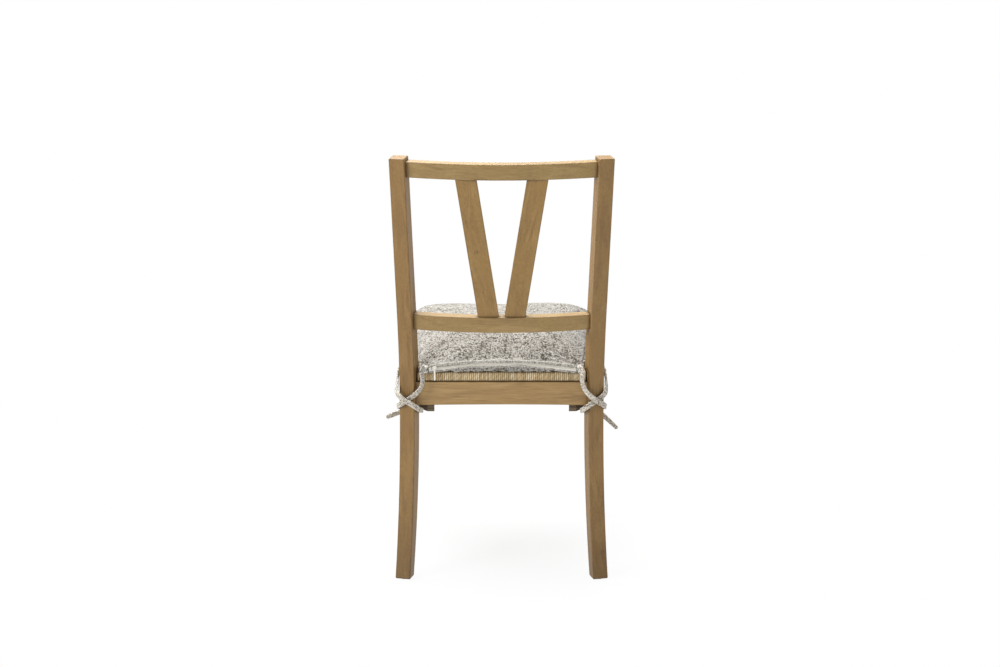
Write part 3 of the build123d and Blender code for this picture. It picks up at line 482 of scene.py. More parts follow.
# ---- hardwood parts --------------------------------------------------------------------------
def finish_wood():
    """The carried-over wooden parts keep their shape and get the grain laid along them."""
    upright = (0, 0, 0)
    across = (0, math.radians(90), 0)
    deep = (math.radians(90), 0, 0)
    lean = math.radians(8.96)        # the splats, out of upright
    # how pale the stain was rubbed, by a word of the part's name
    rubbed_by = {"leg": "#DCD4BE", "splat": "#E8E2C8", "seat": "#FFFFFF", "rail": "#EFF3EC"}
    laid = {
        "rear_leg_left": upright, "rear_leg_right": upright,
        "front_leg_left": upright, "front_leg_right": upright,
        "crest_rail": across, "lower_back_rail": across, "rear_seat_rail": across, "front_seat_rail": across,
        "side_seat_rail_left": deep, "side_seat_rail_right": deep,
        "splat_left": (0, lean, 0), "splat_right": (0, -lean, 0),
    }
    for count, (node, turn) in enumerate(laid.items()):
        shift = (0.37 * count, 0.21 * count, 0.53 * count)
        rubbed = next(tint for word, tint in rubbed_by.items() if word in node)
        low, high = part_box(node)
        knot = (52 * MM, low.y + 0.52 * (high.y - low.y) + 6 * MM, 697 * MM) if node == "splat_left" else None
        surface = stained_hardwood(f"stained beech {node}", turn, shift, rubbed, knot)
        coat(NODES[node], surface)


# ---- ties ------------------------------------------------------------------------------------
# The ties' runs, in metres on the left post: (towards the left, behind the waist line, height). The two
# sides share the stretches in front of the posts.
INNER_TAIL = [(0.206, -0.039, 0.355), (0.192, -0.045, 0.3535), (0.183, -0.053, 0.345), (0.181, -0.056, 0.330),
              (0.186, -0.057, 0.313), (0.190, -0.057, 0.297)]
OUTER_START = [(0.169, -0.044, 0.447), (0.184, -0.046, 0.446), (0.201, -0.044, 0.446), (0.213, -0.036, 0.440),
               (0.2172, -0.020, 0.428)]
OUTER_WRAP = [(0.1665, -0.002, 0.3555), (0.166, -0.017, 0.3525), (0.170, -0.032, 0.349),
              (0.180, -0.041, 0.346), (0.194, -0.043, 0.3454)]
INNER_TIE_LEFT = [
    (0.161, -0.003, 0.447), (0.166, 0.007, 0.449), (0.1665, 0.013, 0.438), (0.163, 0.011, 0.423),
    (0.167, 0.011, 0.407), (0.179, 0.016, 0.394), (0.198, 0.011, 0.380), (0.212, 0.0062, 0.370),
    (0.2178, -0.006, 0.363), (0.2145, -0.026, 0.358)] + INNER_TAIL
OUTER_TIE_LEFT = OUTER_START + [
    (0.2178, -0.003, 0.411), (0.2190, 0.008, 0.399), (0.212, 0.018, 0.390), (0.198, 0.021, 0.381),
    (0.183, 0.021, 0.372), (0.171, 0.014, 0.362)] + OUTER_WRAP + [
    (0.210, -0.044, 0.343), (0.226, -0.042, 0.338), (0.243, -0.038, 0.331)]
INNER_TIE_RIGHT = [
    (0.161, -0.003, 0.447), (0.166, 0.007, 0.449), (0.167, 0.013, 0.437), (0.166, 0.012, 0.422),
    (0.171, 0.013, 0.406), (0.182, 0.0215, 0.393), (0.199, 0.022, 0.381), (0.2125, 0.012, 0.371),
    (0.2178, -0.004, 0.363), (0.215, -0.025, 0.358)] + INNER_TAIL
OUTER_TIE_RIGHT = OUTER_START + [
    (0.2178, -0.004, 0.412), (0.2172, 0.005, 0.399), (0.212, 0.0085, 0.390), (0.198, 0.0115, 0.381),
    (0.183, 0.015, 0.372), (0.171, 0.012, 0.362)] + OUTER_WRAP + [
    (0.209, -0.044, 0.339), (0.225, -0.042, 0.325), (0.244, -0.038, 0.307)]
TIE_WIDTH = 11.0 * MM
TIE_THICK = 5.2 * MM
KNOT_PLACE = (0.192, -0.043, 0.3499)
KNOT_REACH = 3.9 * MM        # a third of the knot's half width
KNOT_WIDTH = 7.4 * MM        # its strip, drawn tight
KNOT_THICK = 4.6 * MM


def run_of(route, closed=False):
    """The points of a smooth NURBS line that has the route's points as its control points."""
    line = bpy.data.curves.new("run", "CURVE")
    line.dimensions = "3D"
    line.resolution_u = 16
    spline = line.splines.new("NURBS")
    spline.points.add(len(route) - 1)
    for point, place in zip(spline.points, route):
        point.co = (*place, 1.0)
    spline.order_u = 3
    spline.use_endpoint_u = not closed
    spline.use_cyclic_u = closed
    holder = bpy.data.objects.new("run", line)
    bpy.context.scene.collection.objects.link(holder)
    bpy.context.view_layer.update()
    drawn = bpy.data.meshes.new_from_object(holder)
    points = [v.co.copy() for v in drawn.vertices]
    bpy.data.objects.remove(holder)
    bpy.data.meshes.remove(drawn)
    return points


def spaced(points, step, closed=False):
    """The same line with its points step apart."""
    if closed:
        points = points + [points[0]]
    lengths = [0.0]
    for a, b in zip(points, points[1:]):
        lengths.append(lengths[-1] + (b - a).length)
    count = max(2, round(lengths[-1] / step))
    result, i = [], 0
    for k in range(count + (0 if closed else 1)):
        goal = lengths[-1] * k / count
        while i < len(points) - 2 and lengths[i + 1] < goal:
            i += 1
        share = (goal - lengths[i]) / max(lengths[i + 1] - lengths[i], 1e-9)
        result.append(points[i].lerp(points[i + 1], min(1.0, share)))
    return result


def folded_strip(name, points, away_from, width, thick, closed=False, seed=0):
    """A strip folded in four and stitched, so that it has a ridge each side of a shallow groove."""
    around = 20
    count = len(points)
    outwards = []
    for i, place in enumerate(points):
        before = points[i - 1] if closed or i else points[0]
        after = points[(i + 1) % count] if closed or i < count - 1 else points[-1]
        along = (after - before).normalized()
        out = place - Vector((away_from.x, away_from.y, place.z))
        out -= along * out.dot(along)
        outwards.append((along, out.normalized()))
    vertices, faces, shares = [], [], []
    for i, (place, (along, _)) in enumerate(zip(points, outwards)):
        mean = Vector()
        for j in range(-5, 6):
            index = (i + j) % count if closed else min(max(i + j, 0), count - 1)
            mean += outwards[index][1]
        out = (mean - along * mean.dot(along)).normalized()
        side = along.cross(out)
        left = min(i, count - 1 - i) * (points[1] - points[0]).length
        end = 1.0 if closed else min(1.0, 0.45 + 0.55 * math.sqrt(min(1.0, left / (2.6 * MM))))
        for k in range(around):
            angle = 2 * math.pi * k / around
            c, s = math.cos(angle), math.sin(angle)
            u = width / 2 * math.copysign(abs(c) ** 0.75, c)
            v = thick / 2 * math.copysign(abs(s) ** 0.8, s)
            v *= 1 - 0.42 * math.exp(-(u / (0.13 * width)) ** 2)
            lump = 0.45 * MM * noise.noise((place + side * u) * 330 + Vector((seed, 0, 0)))
            lump += 0.5 * MM * noise.noise(place * 90 + Vector((seed, 3, 0)))
            push = (side * u + out * v) * end
            vertices.append(place + push + push.normalized() * lump)
    for i in range(count if closed else count - 1):
        for k in range(around):
            a, b = i * around + k, i * around + (k + 1) % around
            c = ((i + 1) % count) * around + (k + 1) % around
            d = ((i + 1) % count) * around + k
            faces.append((a, b, c, d))
    if not closed:
        vertices += [points[0] - outwards[0][0] * 0.8 * MM, points[-1] + outwards[-1][0] * 0.8 * MM]
        last = (count - 1) * around
        for k in range(around):
            faces.append((len(vertices) - 2, (k + 1) % around, k))
            faces.append((len(vertices) - 1, last + k, last + (k + 1) % around))
    piece = mesh_piece(name, vertices, faces)
    face_outwards(piece)
    bpy.ops.object.shade_smooth()
    return piece


def tie_place(side, point):
    return Vector((side * point[0], WAIST_Y + point[1], point[2]))


def make_ties():
    cloth = boucle("boucle tie folded and stitched", 2.8 * MM, "#EFEBE3", "#9A9082", "#DED7CA", 0.84)
    turns = [2 * math.pi * k / 18 for k in range(18)]
    for side, word, inner, outer in ((1, "left", INNER_TIE_LEFT, OUTER_TIE_LEFT),
                                     (-1, "right", INNER_TIE_RIGHT, OUTER_TIE_RIGHT)):
        post_middle = tie_place(side, (0.1965, -0.0175, 0))
        middle = tie_place(side, KNOT_PLACE)
        # the knot: one strip turned over and through itself
        knot_route = []
        for t in turns:
            across, up = math.sin(t) + 2 * math.sin(2 * t), math.cos(t) - 2 * math.cos(2 * t)
            knot_route.append(middle + KNOT_REACH * Vector((across, -1.1 * math.sin(3 * t), up)))
        knot_run = spaced(run_of(knot_route, closed=True), 1.4 * MM, closed=True)
        knot = folded_strip(f"tie_knot_{word}", knot_run, middle, KNOT_WIDTH, KNOT_THICK, closed=True,
                            seed=9 + side)
        finish_piece(knot, f"tie_knot_{word}", cloth, (f"knot_{word}",))
        for which, route in (("inner", inner), ("outer", outer)):
            placed = [tie_place(side, point) for point in route]
            line = spaced(run_of(placed), 1.3 * MM)
            name = f"tie_strip_{word}_{which}"
            strip = folded_strip(name, line, post_middle, TIE_WIDTH, TIE_THICK, seed=3 * side + len(which))
            finish_piece(strip, name, cloth, (f"tie_{word}_{which}",))


# ---- woven seat ------------------------------------------------------------------------------
CORD_PITCH = 4.0 * MM
CORD_RADIUS = 2.15 * MM
SEAT_CENTRE_Y = -45.0 * MM       # where the four fields of cord meet
TURN_LENGTH = 100.0 * MM         # one turn as modelled, before it is cut to its own length


def cord_turn():
    """One turn of paper cord over the seat's edge: along the top, round the edge and back underneath.

    It is modelled with its edge at y = 0 and its two ends inwards, at negative y.
    """
    top = SEAT_HIGH.z - CORD_RADIUS
    bottom = SEAT_LOW.z + CORD_RADIUS
    bend, lower_bend = 4.6 * MM, 2.4 * MM
    deselect()
    bpy.ops.mesh.primitive_circle_add(vertices=8, radius=CORD_RADIUS, location=(0, -TURN_LENGTH, top),
                                      rotation=(math.pi / 2, 0, 0))
    turn = bpy.context.active_object
    settle(turn)
    bpy.ops.object.mode_set(mode="EDIT")
    bpy.ops.mesh.select_all(action="SELECT")
    corner = -CORD_RADIUS - bend
    lower_corner = -CORD_RADIUS - lower_bend
    bpy.ops.mesh.extrude_region_move(TRANSFORM_OT_translate={"value": (0, TURN_LENGTH + corner, 0)})
    bpy.ops.mesh.spin(steps=3, angle=math.pi / 2, center=(0, corner, top - bend), axis=(1, 0, 0))
    fall = top - bend - bottom - lower_bend
    bpy.ops.mesh.extrude_region_move(TRANSFORM_OT_translate={"value": (0, 0, -fall)})
    bpy.ops.mesh.spin(steps=3, angle=math.pi / 2, center=(0, lower_corner, bottom + lower_bend),
                      axis=(1, 0, 0))
    bpy.ops.mesh.extrude_region_move(TRANSFORM_OT_translate={"value": (0, -TURN_LENGTH - lower_corner, 0)})
    bpy.ops.object.mode_set(mode="OBJECT")
    face_outwards(turn, weld=True)
    bpy.ops.object.shade_smooth()
    return turn


def lay_turn(turn, edge, facing, length, chance):
    """A copy of the turn with its edge at a place, facing outwards, and its own length."""
    copy = duplicate(turn)
    swell = 1.0 + chance.uniform(-0.05, 0.06)
    slip = chance.uniform(-0.25, 0.25) * MM
    for vertex in copy.data.vertices:
        if vertex.co.y < -TURN_LENGTH / 2:
            vertex.co.y = -length
        else:
            vertex.co.x = vertex.co.x * swell
            vertex.co.y += slip
    shade = copy.data.attributes.new("strand", "FLOAT", "POINT")
    own = chance.random()
    for value in shade.data:
        value.value = own
    copy.data.transform(Matrix.Translation(edge) @ Matrix.Rotation(facing, 4, "Z"))
    return copy


def make_seat():
    chance = random.Random(11)
    turn = cord_turn()
    rear_half = 173.0 * MM                                   # the rear field, between the posts
    notch_x, notch_y = 169.6 * MM, 155.2 * MM                # the seat's corner inside each post
    side_rear, side_front = 202.5 * MM, 236.0 * MM           # the side edges, at their two ends
    rear_y, front_y, side_rear_y = SEAT_HIGH.y, SEAT_LOW.y, 147.0 * MM
    overlap, shortest = 2 * MM, 8 * MM
    front_back = []
    count = round(2 * rear_half / CORD_PITCH)
    for k in range(count + 1):
        x = -rear_half + 2 * rear_half * k / count
        inner = notch_y - (rear_half - abs(x)) * (notch_y - SEAT_CENTRE_Y) / rear_half
        front_back.append(lay_turn(turn, Vector((x, rear_y, 0)), 0, rear_y - inner + overlap, chance))
    front_half = side_front - 2 * MM
    count = round(2 * front_half / CORD_PITCH)
    for k in range(count + 1):
        x = -front_half + 2 * front_half * k / count
        inner = front_y + (side_front - abs(x)) * (SEAT_CENTRE_Y - front_y) / side_front
        length = max(inner - front_y, shortest) + overlap
        front_back.append(lay_turn(turn, Vector((x, front_y, 0)), math.pi, length, chance))
    sides = []
    side_run = side_rear_y - front_y - 8 * MM
    count = round(side_run / CORD_PITCH)
    for side in (1, -1):
        for k in range(count + 1):
            y = side_rear_y - 2 * MM - side_run * k / count
            edge = side_rear + (side_front - side_rear) * (side_rear_y - y) / (side_rear_y - front_y)
            if y > SEAT_CENTRE_Y:
                inner = notch_x * (y - SEAT_CENTRE_Y) / (notch_y - SEAT_CENTRE_Y)
            else:
                inner = side_front * (SEAT_CENTRE_Y - y) / (SEAT_CENTRE_Y - front_y)
            length = max(edge - inner, shortest) + overlap
            sides.append(lay_turn(turn, Vector((side * edge, y, 0)), -side * math.pi / 2, length, chance))
    bpy.data.objects.remove(turn)
    for name, pieces, way, facing in (("woven_cords_front_and_rear", front_back, "front to back", 0),
                                      ("woven_cords_sides", sides, "side to side", math.pi / 2)):
        cord = paper_cord(f"twisted paper cord laid {way}", facing)
        finish_piece(join(pieces), name, cord, ("woven_seat",))


# ---- cushion ---------------------------------------------------------------------------------
CUSHION_REAR_HALF = 171.0 * MM
CUSHION_FRONT_HALF = 223.0 * MM
CUSHION_MIDDLE = Vector((0, -35.0 * MM, 0))
CUSHION_REST = COVER_LOW.z + 0.3 * MM      # its underside, lying on the cords
SEAM_LEVEL = 453.0 * MM
CROWN = 59.5 * MM                          # the middle of the top, over the seam
CROWN_REACH = 205 * MM                     # how far in from the edge the crown goes on rising


def zip_height(x):
    """The height of the zip's chain at x, on the cushion's rear face."""
    return ZIP_CENTRE.z + math.sqrt(ZIP_RADIUS ** 2 - (x - ZIP_CENTRE.x) ** 2)


def smooth(value, low, high):
    share = min(1.0, max(0.0, (value - low) / (high - low)))
    return share * share * (3 - 2 * share)


def bell(value, middle, width):
    """1 at the middle, fading to either side."""
    return math.exp(-((value - middle) / width) ** 2)


def cushion_outline():
    """Points round the cushion at its seam, with rounded corners and sides drawn in between them."""
    corners = [(Vector((CUSHION_REAR_HALF, COVER_HIGH.y, 0)), 20 * MM),
               (Vector((-CUSHION_REAR_HALF, COVER_HIGH.y, 0)), 20 * MM),
               (Vector((-CUSHION_FRONT_HALF, COVER_LOW.y, 0)), 46 * MM),
               (Vector((CUSHION_FRONT_HALF, COVER_LOW.y, 0)), 46 * MM)]
    points = []
    for i, (corner, radius) in enumerate(corners):
        before = (corners[i - 1][0] - corner).normalized()
        after_corner, after_radius = corners[(i + 1) % 4]
        after = (after_corner - corner).normalized()
        for t in [k / 8 for k in range(9)]:
            onto = (corner + before * radius).lerp(corner, t)
            points.append(onto.lerp(corner.lerp(corner + after * radius, t), t))
        start, end = corner + after * radius, after_corner - after * after_radius
        inwards = Vector((-after.y, after.x, 0))
        if inwards.dot(CUSHION_MIDDLE - corner) < 0:
            inwards = -inwards
        drawn_in = 0.0 if i == 0 else 2.0 * MM
        steps = round((end - start).length / (6 * MM))
        for k in range(1, steps):
            t = k / steps
            points.append(start.lerp(end, t) + inwards * drawn_in * math.sin(math.pi * t))
    return points


def from_corners(place):
    """How far a place is from the nearest rear corner and from the nearest front corner."""
    rear = min((place - Vector((side * CUSHION_REAR_HALF, COVER_HIGH.y, 0))).length for side in (1, -1))
    front = min((place - Vector((side * CUSHION_FRONT_HALF, COVER_LOW.y, 0))).length for side in (1, -1))
    return rear, front


def seam_height(place):
    """The seam runs just over the zip at the back, dips at the corners, and is level along the sides."""
    rear, front = from_corners(place)
    level = SEAM_LEVEL
    if place.y > COVER_HIGH.y - 6 * MM:
        level = zip_height(place.x) + 6.0 * MM
    level -= 9.0 * MM * (1 - smooth(rear, 6 * MM, 48 * MM))
    level -= 5.0 * MM * (1 - smooth(front, 20 * MM, 90 * MM))
    return level


def crown(inset, place):
    """How far the top panel stands over the seam, this far in: fuller at the sides and front."""
    share = min(1.0, inset / CROWN_REACH)
    slope = 0.30 + 0.30 * smooth(place.y, 0, 150 * MM)
    return CROWN * (1 - (1 - share) ** 2.2) ** slope


def corner_drop(place):
    """The share of the crown that is left near the corners, where the cloth lies flatter."""
    rear, front = from_corners(place)
    return 1 - 0.78 * bell(rear, 0, 62 * MM) - 0.05 * bell(front, 0, 45 * MM)


def cushion_shell(name, shrink):
    """The cover before it is filled: rings from the underside's middle, up the sides and over the top."""
    outline = cushion_outline()
    reach = [(place - CUSHION_MIDDLE).length for place in outline]
    vertices, rings = [], []

    def ring(inset, height_of):
        start = len(vertices)
        for place, far in zip(outline, reach):
            out = (place - CUSHION_MIDDLE) * (1 - (inset + shrink) / far)
            point = CUSHION_MIDDLE + out
            vertices.append(Vector((point.x, point.y, height_of(place, point))))
        rings.append(start)

    def top(inset):
        """The height of the top panel, which leaves the seam's own height as it goes inwards."""
        away = smooth(inset, 0, 150 * MM)
        folded = shrink * smooth(inset, 0, 9 * MM)
        return lambda place, point: (seam_height(place) * (1 - away) + SEAM_LEVEL * away
                                     + crown(inset, point) * corner_drop(point) - folded)

    for inset in (150, 110, 70, 36, 9):
        ring(inset * MM, lambda place, point: CUSHION_REST + shrink)
    ring(2 * MM, lambda place, point: CUSHION_REST + shrink + 1.5 * MM)
    ring(-0.8 * MM, lambda place, point: CUSHION_REST + 0.35 * (seam_height(place) - CUSHION_REST))
    ring(-0.6 * MM, lambda place, point: CUSHION_REST + 0.70 * (seam_height(place) - CUSHION_REST))
    ring(2.2 * MM, lambda place, point: seam_height(place))
    for inset in (2.6, 5, 9, 15, 23, 34, 48, 66, 90, 120, 150):
        ring(inset * MM, top(inset * MM))
    count = len(outline)
    faces = []
    for lower, upper in zip(rings, rings[1:]):
        for k in range(count):
            faces.append((lower + k, lower + (k + 1) % count, upper + (k + 1) % count, upper + k))
    under = Vector((CUSHION_MIDDLE.x, CUSHION_MIDDLE.y, CUSHION_REST + shrink))
    over = Vector((CUSHION_MIDDLE.x, CUSHION_MIDDLE.y, SEAM_LEVEL + CROWN - shrink))
    vertices += [under, over]
    for k in range(count):
        faces.append((len(vertices) - 2, rings[0] + (k + 1) % count, rings[0] + k))
        faces.append((len(vertices) - 1, rings[-1] + k, rings[-1] + (k + 1) % count))
    shell = mesh_piece(name, vertices, faces)
    face_outwards(shell)
    return shell


def fill_with_air(cover, voxel, pressure, cap, looseness):
    """Remeshes the cover evenly, holds its seam, and lets pressure fill it, by at most cap."""
    activate(cover)
    cover.data.remesh_voxel_size = voxel
    bpy.ops.object.voxel_remesh()
    held = cover.vertex_groups.new(name="seam and underside")
    start = [v.co.copy() for v in cover.data.vertices]
    for index, place in enumerate(start):
        flat = Vector((place.x, place.y, 0))
        if place.z < CUSHION_REST + 2.5 * MM:
            held.add([index], 1.0, "REPLACE")
        elif abs(place.z - seam_height(flat)) < 3.2 * MM and edge_gap(flat) < 9 * MM:
            held.add([index], 1.0, "REPLACE")
    cloth = cover.modifiers.new("cloth", "CLOTH")
    made = cloth.settings
    made.quality = 5
    made.mass = 0.3
    made.tension_stiffness = made.compression_stiffness = 15
    made.shear_stiffness = 5
    made.bending_stiffness = 0.5
    made.use_pressure = True
    made.uniform_pressure_force = pressure
    made.vertex_group_mass = held.name
    made.shrink_min = -looseness
    made.effector_weights.gravity = 0
    cloth.collision_settings.use_collision = False
    scene = bpy.context.scene
    frames = 20
    scene.frame_start, scene.frame_end = 1, frames
    cloth.point_cache.frame_start, cloth.point_cache.frame_end = 1, frames
    for number in range(1, frames + 1):
        scene.frame_set(number)
    activate(cover)
    bpy.ops.object.modifier_apply(modifier=cloth.name)
    scene.frame_set(1)
    for vertex, place in zip(cover.data.vertices, start):
        moved = vertex.co - place
        if moved.length > cap:
            vertex.co = place + moved * (cap / moved.length)


def edge_gap(flat):
    """How far a place is inside the cushion's outline, roughly."""
    forwards = (COVER_HIGH.y - flat.y) / (COVER_HIGH.y - COVER_LOW.y)
    half = CUSHION_REAR_HALF + forwards * (CUSHION_FRONT_HALF - CUSHION_REAR_HALF)
    return min(COVER_HIGH.y - flat.y, flat.y - COVER_LOW.y, half - abs(flat.x))


# Creases, listed one by one: from and to in metres, depth and width in mm, where the cloth gathers into the
# rear corners and the ties, and at the front corners.
CREASES = [((-0.166, 0.176, 0.446), (-0.100, 0.166, 0.474), 4.6, 5.0),
           ((-0.164, 0.172, 0.452), (-0.122, 0.146, 0.488), 3.8, 5.5),
           ((-0.160, 0.179, 0.443), (-0.084, 0.177, 0.463), 3.6, 4.2),
           ((-0.158, 0.168, 0.462), (-0.075, 0.150, 0.484), 2.6, 5.5),
           ((-0.170, 0.160, 0.452), (-0.150, 0.110, 0.488), 2.2, 6.0),
           ((0.164, 0.176, 0.446), (0.118, 0.158, 0.482), 3.6, 5.5),
           ((0.166, 0.168, 0.452), (0.140, 0.134, 0.484), 2.6, 6.0),
           ((0.172, 0.150, 0.455), (0.158, 0.090, 0.488), 1.6, 6.0),
           ((0.215, -0.225, 0.455), (0.178, -0.190, 0.490), 2.2, 6.0),
           ((-0.215, -0.225, 0.455), (-0.180, -0.186, 0.490), 2.4, 6.0),
           ((0.196, -0.246, 0.456), (0.170, -0.205, 0.488), 1.8, 5.5),
           ((-0.190, -0.247, 0.456), (-0.160, -0.208, 0.488), 1.8, 5.5)]


def shape_cover(cover):
    """After the filling: the seam drawn in, creases at the corners, the zip's strip and the underside flat."""
    for vertex, normal in [(v, v.normal.copy()) for v in cover.data.vertices]:
        place = vertex.co.copy()
        flat = Vector((place.x, place.y, 0))
        gap = edge_gap(flat)
        over_seam = place.z - seam_height(flat) if gap < 20 * MM else 1.0
        push = 0.0
        if gap < 20 * MM:
            push -= 2.6 * MM * bell(over_seam, 0, 2.8 * MM)
            pucker = noise.noise(Vector((place.x * 70, place.y * 70, 2.0)))
            push += 1.6 * MM * pucker * bell(over_seam, 0, 16 * MM)
        for start, end, depth, width in CREASES:
            a, b = Vector(start), Vector(end)
            t = min(1.0, max(0.0, (place - a).dot(b - a) / (b - a).length_squared))
            off = (place - a.lerp(b, t)).length
            if off < 4 * width * MM:
                fade = math.sin(math.pi * min(1.0, 0.18 + 0.82 * (1 - t)) / 2) * min(1.0, 0.3 + 2 * t)
                near = off / (width * MM)
                push += depth * MM * fade * (0.45 * bell(near, 1.5, 0.7) - bell(near, 0, 1))
        lying = smooth(place.z, CUSHION_REST + 4 * MM, CUSHION_REST + 20 * MM)
        push += 0.9 * MM * noise.noise(place * 24) * lying
        place += normal * push
        # the top panel swells a little more to the right of its middle, and the boxing bulges under the zip
        if place.z > 0.47:
            place.z += 4.6 * MM * bell(place.x, -0.04, 0.12) * bell(place.y, -0.06, 0.17)
        sag = 0.0
        rear = smooth(place.y, COVER_HIGH.y - 26 * MM, COVER_HIGH.y - 8 * MM)
        if rear > 0:
            angle = abs(place.x - ZIP_CENTRE.x) / ZIP_RADIUS
            strip = smooth(angle, ZIP_HALF_ANGLE + 0.016, ZIP_HALF_ANGLE + 0.002)
            off = place.z - zip_height(place.x)
            under_tape = smooth(off, -9.0 * MM, -4.5 * MM) * smooth(off, 10.5 * MM, 6.5 * MM)
            flat_share = rear * strip * under_tape
            place.y += (COVER_HIGH.y - 0.4 * MM - place.y) * flat_share
            # under the zip the boxing stands out between the zip and the seat, and puckers
            wave = 1.8 * bell(place.x, -0.045, 0.030) + 1.0 * bell(place.x, 0.075, 0.045)
            wave -= 1.4 * bell(place.x, -0.012, 0.010)
            tall = zip_height(place.x) - 5 * MM - CUSHION_REST
            share = min(1.0, max(0.0, (place.z - CUSHION_REST) / tall))
            goal = COVER_HIGH.y + (2.1 + wave) * MM * math.sin(math.pi * (0.24 + 0.64 * share))
            wall = smooth(place.y, COVER_HIGH.y - 11 * MM, COVER_HIGH.y - 5 * MM)
            wall *= smooth(off, -4.5 * MM, -7.5 * MM)
            place.y += (goal - place.y) * wall * strip
            sag = 4.5 * MM * wall * strip
            place.z -= sag * (1 - share) ** 2
        place.z = max(place.z, CUSHION_REST - sag)
        vertex.co = place


def on_zip_arc(angle, radius, y):
    """The place at an angle along the zip's arc."""
    return Vector((ZIP_CENTRE.x + radius * math.sin(angle), y, ZIP_CENTRE.z + radius * math.cos(angle)))


def repeat_along_zip(piece, angles, radius, y):
    """Copies of a small piece, turned and laid along the zip's arc, joined into one."""
    copies = []
    for angle in angles:
        copy = duplicate(piece)
        copy.data.transform(Matrix.Translation(on_zip_arc(angle, radius, y)) @ Matrix.Rotation(angle, 4, "Y"))
        copies.append(copy)
    bpy.data.objects.remove(piece)
    return join(copies)


def turned_edge(name, cloth, offset, height, thick, wander):
    """A folded edge of cloth along the zip: a rounded strip swept round the zip's arc, then eased.

    wander(x) is how far the edge moves down at x, and how much thicker it is there.
    """
    reach = ZIP_HALF_ANGLE + 0.006
    radius = ZIP_RADIUS + offset
    start = on_zip_arc(reach, radius, COVER_HIGH.y + 0.1 * MM)
    deselect()
    bpy.ops.mesh.primitive_circle_add(vertices=14, radius=0.5, location=start, rotation=(0, math.pi / 2, 0),
                                      fill_type="NGON")
    edge = bpy.context.active_object
    edge.scale = (height, thick, 1.0)
    settle(edge)
    bpy.ops.object.mode_set(mode="EDIT")
    bpy.ops.mesh.select_all(action="SELECT")
    bpy.ops.mesh.spin(steps=150, angle=2 * reach, center=ZIP_CENTRE, axis=(0, 1, 0))
    bpy.ops.object.mode_set(mode="OBJECT")
    face_outwards(edge, weld=True)
    for vertex in edge.data.vertices:
        place = vertex.co
        down, fuller = wander(place.x)
        outwards = Vector((place.x - ZIP_CENTRE.x, 0, place.z - ZIP_CENTRE.z)).normalized()
        off = (place - ZIP_CENTRE).dot(outwards) - radius
        place -= outwards * (down - off * (fuller - 1))
        place.y += (place.y - COVER_HIGH.y) * 0.6 * (fuller - 1)
        place += outwards * 0.5 * MM * noise.noise(Vector((place.x * 110, 5.0 + offset * 900, 0)))
        place.y += 0.35 * MM * noise.noise(Vector((place.x * 190, 9.0 + offset * 900, place.z * 60)))
        vertex.co = place
    activate(edge)
    bpy.ops.object.shade_smooth()
    return finish_piece(edge, name, cloth)


def stitches(name, offset, proud, surface):
    """A row of thread stitches 3.6 mm apart along the zip: one is modelled, then copied along the arc."""
    deselect()
    bpy.ops.mesh.primitive_cylinder_add(vertices=6, radius=0.5 * MM, depth=2.9 * MM, location=(0, 0, 0),
                                        rotation=(0, math.pi / 2, 0))
    stitch = bpy.context.active_object
    settle(stitch)
    bpy.ops.object.mode_set(mode="EDIT")
    bpy.ops.mesh.select_all(action="SELECT")
    bpy.ops.mesh.bevel(offset=0.25 * MM, segments=1)
    bpy.ops.object.mode_set(mode="OBJECT")
    radius = ZIP_RADIUS + offset
    count = round(2 * ZIP_HALF_ANGLE * radius / (3.6 * MM))
    angles = [ZIP_HALF_ANGLE * (1 - 2 * (k + 0.5) / count) for k in range(count)]
    row = repeat_along_zip(stitch, angles, radius, COVER_HIGH.y + proud)
    return finish_piece(row, name, surface)


def zip_coil(surface):
    """The zip's teeth: one turn of the nylon coil is modelled, then copied every 1.5 mm along the arc."""
    deselect()
    bpy.ops.mesh.primitive_torus_add(major_segments=10, minor_segments=5, major_radius=1.55 * MM,
                                     minor_radius=0.42 * MM, location=(0, 0, 0),
                                     rotation=(0, math.pi / 2 - 0.25, 0))
    turn = bpy.context.active_object
    turn.scale = (1.0, 0.5, 1.0)
    settle(turn)
    count = round(2 * ZIP_HALF_ANGLE * ZIP_RADIUS / (1.5 * MM))
    angles = [ZIP_HALF_ANGLE * (1 - 2 * k / count) for k in range(count + 1)]
    coil = repeat_along_zip(turn, angles, ZIP_RADIUS, CHAIN_BACK - 1.0 * MM)
    activate(coil)
    bpy.ops.object.shade_smooth()
    return finish_piece(coil, "zip_coil_teeth", surface, ("zip_chain",))


def upper_edge_wander(x):
    """The upper edge folds lower over the zip near its two ends."""
    ends = smooth(abs(x - ZIP_CENTRE.x), 60 * MM, 140 * MM)
    return 0.4 * MM + 0.8 * MM * ends, 1.0 + 0.25 * bell(x, 100 * MM, 30 * MM)


def lower_edge_wander(x):
    """The lower edge puckers: it rises and swells right of the middle, and falls away near the ends."""
    pinch = bell(x, -37 * MM, 15 * MM)
    second = bell(x, -112 * MM, 24 * MM)
    third = bell(x, 62 * MM, 30 * MM)
    ends = smooth(abs(x - ZIP_CENTRE.x), 70 * MM, 146 * MM)
    down = (1.6 * ends + 0.4 - 2.6 * pinch - 0.4 * third + 0.6 * second) * MM
    return down, 1.0 + 0.35 * pinch + 0.15 * third


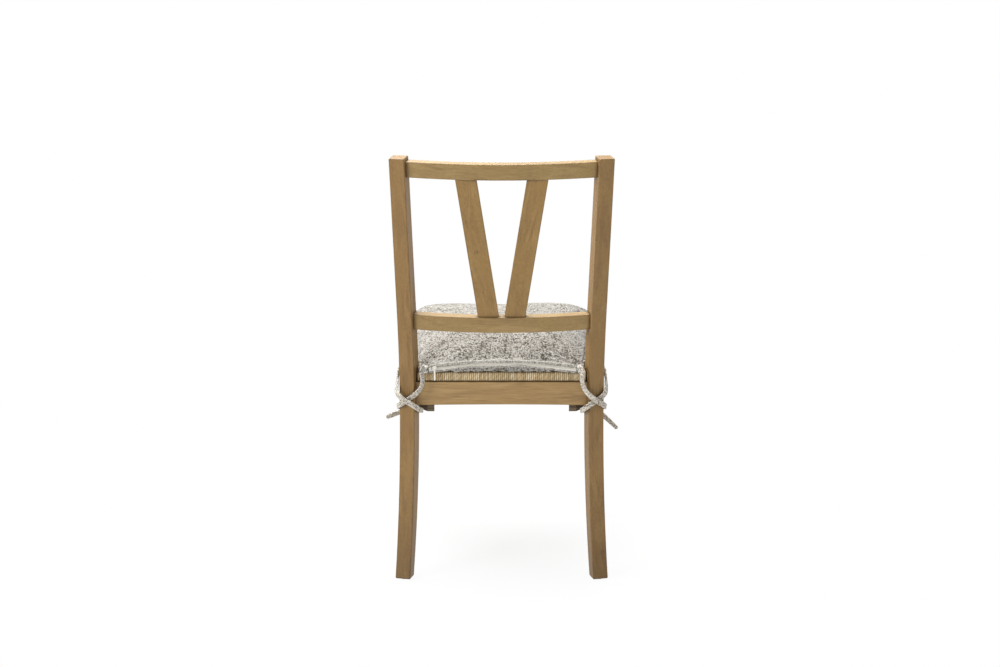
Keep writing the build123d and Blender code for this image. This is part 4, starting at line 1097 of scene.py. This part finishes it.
def make_cushion():
    cover = cushion_shell("boucle_cushion_cover", 2.0 * MM)
    fill_with_air(cover, 5.5 * MM, 4.0, 7.0 * MM, 0.03)
    swell = cover.modifiers.new("smooth", "SUBSURF")
    swell.levels = swell.render_levels = 1
    apply_modifiers(cover)
    shape_cover(cover)
    activate(cover)
    bpy.ops.object.shade_smooth()
    cloth = boucle("boucle cover cloth", 3.1 * MM, "#BEBDB9", "#5D574E", "#ADA9A1", 0.76)
    # the filling is the cover's own shape, 7 mm inside it
    filling = duplicate(cover)
    inside = 7 * MM
    for vertex, normal in [(v, v.normal.copy()) for v in filling.data.vertices]:
        vertex.co -= normal * inside
    activate(filling)
    filling.data.remesh_voxel_size = 7 * MM
    bpy.ops.object.voxel_remesh()
    bpy.ops.object.shade_smooth()
    wadding = boucle("fibre wadding over foam", 6.0 * MM, "#F6F6F4", "#DCDCD8", "#EDEDEA", 0.9)
    finish_piece(filling, "cushion_fibre_filling", wadding, ("cushion_foam",))

    finish_piece(cover, "boucle_cushion_cover", cloth, ("cushion_cover",))
    turned = boucle("boucle turned edge", 2.8 * MM, "#DAD8D2", "#8F8B83", "#CCC8BF", 0.85)
    upper = turned_edge("zip_upper_folded_edge", turned, 6.2 * MM, 7.6 * MM, 3.2 * MM, upper_edge_wander)
    lower = turned_edge("zip_lower_folded_edge", turned, -5.4 * MM, 4.8 * MM, 3.2 * MM, lower_edge_wander)
    thread = fine_cloth("white polyester sewing thread", "#F4F2EC", "#CFC9BC", 0.8 * MM)
    stitches("zip_upper_stitching", 8.2 * MM, 1.9 * MM, thread)
    zip_coil(moulded_or_cast("nylon zip coil", "#EFEBE0", "#D8D1C2", 0.45, 0.0, 0.3 * MM))


def finish_hardware():
    across, deep = (0, math.radians(90), 0), (math.radians(90), 0, 0)
    dark_block = sawn_softwood("pine block brushed with dark stain", "#7E6F59", "#584C3C", across)
    pale_x = sawn_softwood("planed pine slip laid across", "#D8BE93", "#B89663", across)
    pale_y = sawn_softwood("planed pine slip laid front to back", "#D8BE93", "#B89663", deep)
    steel = moulded_or_cast("zinc plated steel", "#A9A9A6", "#8F8F8A", 0.38, 1.0, 0.3 * MM)
    nylon = moulded_or_cast("moulded nylon", "#3B3733", "#2C2926", 0.55, 0.0, 0.4 * MM)
    enamel = moulded_or_cast("enamelled zinc slider", "#EDEAE2", "#DAD5C9", 0.32, 0.0, 0.5 * MM)
    white = moulded_or_cast("moulded white plastic", "#F3F1EA", "#E2DED3", 0.42, 0.0, 0.5 * MM)
    tape = fine_cloth("woven polyester zip tape", "#F1EEE6", "#D5CFC2", 1.1 * MM)
    given = {"block_screws": steel, "seat_screws": steel, "foot_glides": nylon,
             "zip_slider": enamel, "zip_pull": white, "zip_stops": enamel,
             "zip_tape_upper": tape, "zip_tape_lower": tape,
             "slip_frame_rear": pale_x, "slip_frame_front": pale_x,
             "slip_frame_left": pale_y, "slip_frame_right": pale_y}
    given.update({node: dark_block for node in NODES if node.startswith("corner_block")})
    for node, surface in given.items():
        coat(NODES[node], surface)


camera()
make_ties()
studio()
finish_wood()
finish_hardware()
make_seat()
make_cushion()
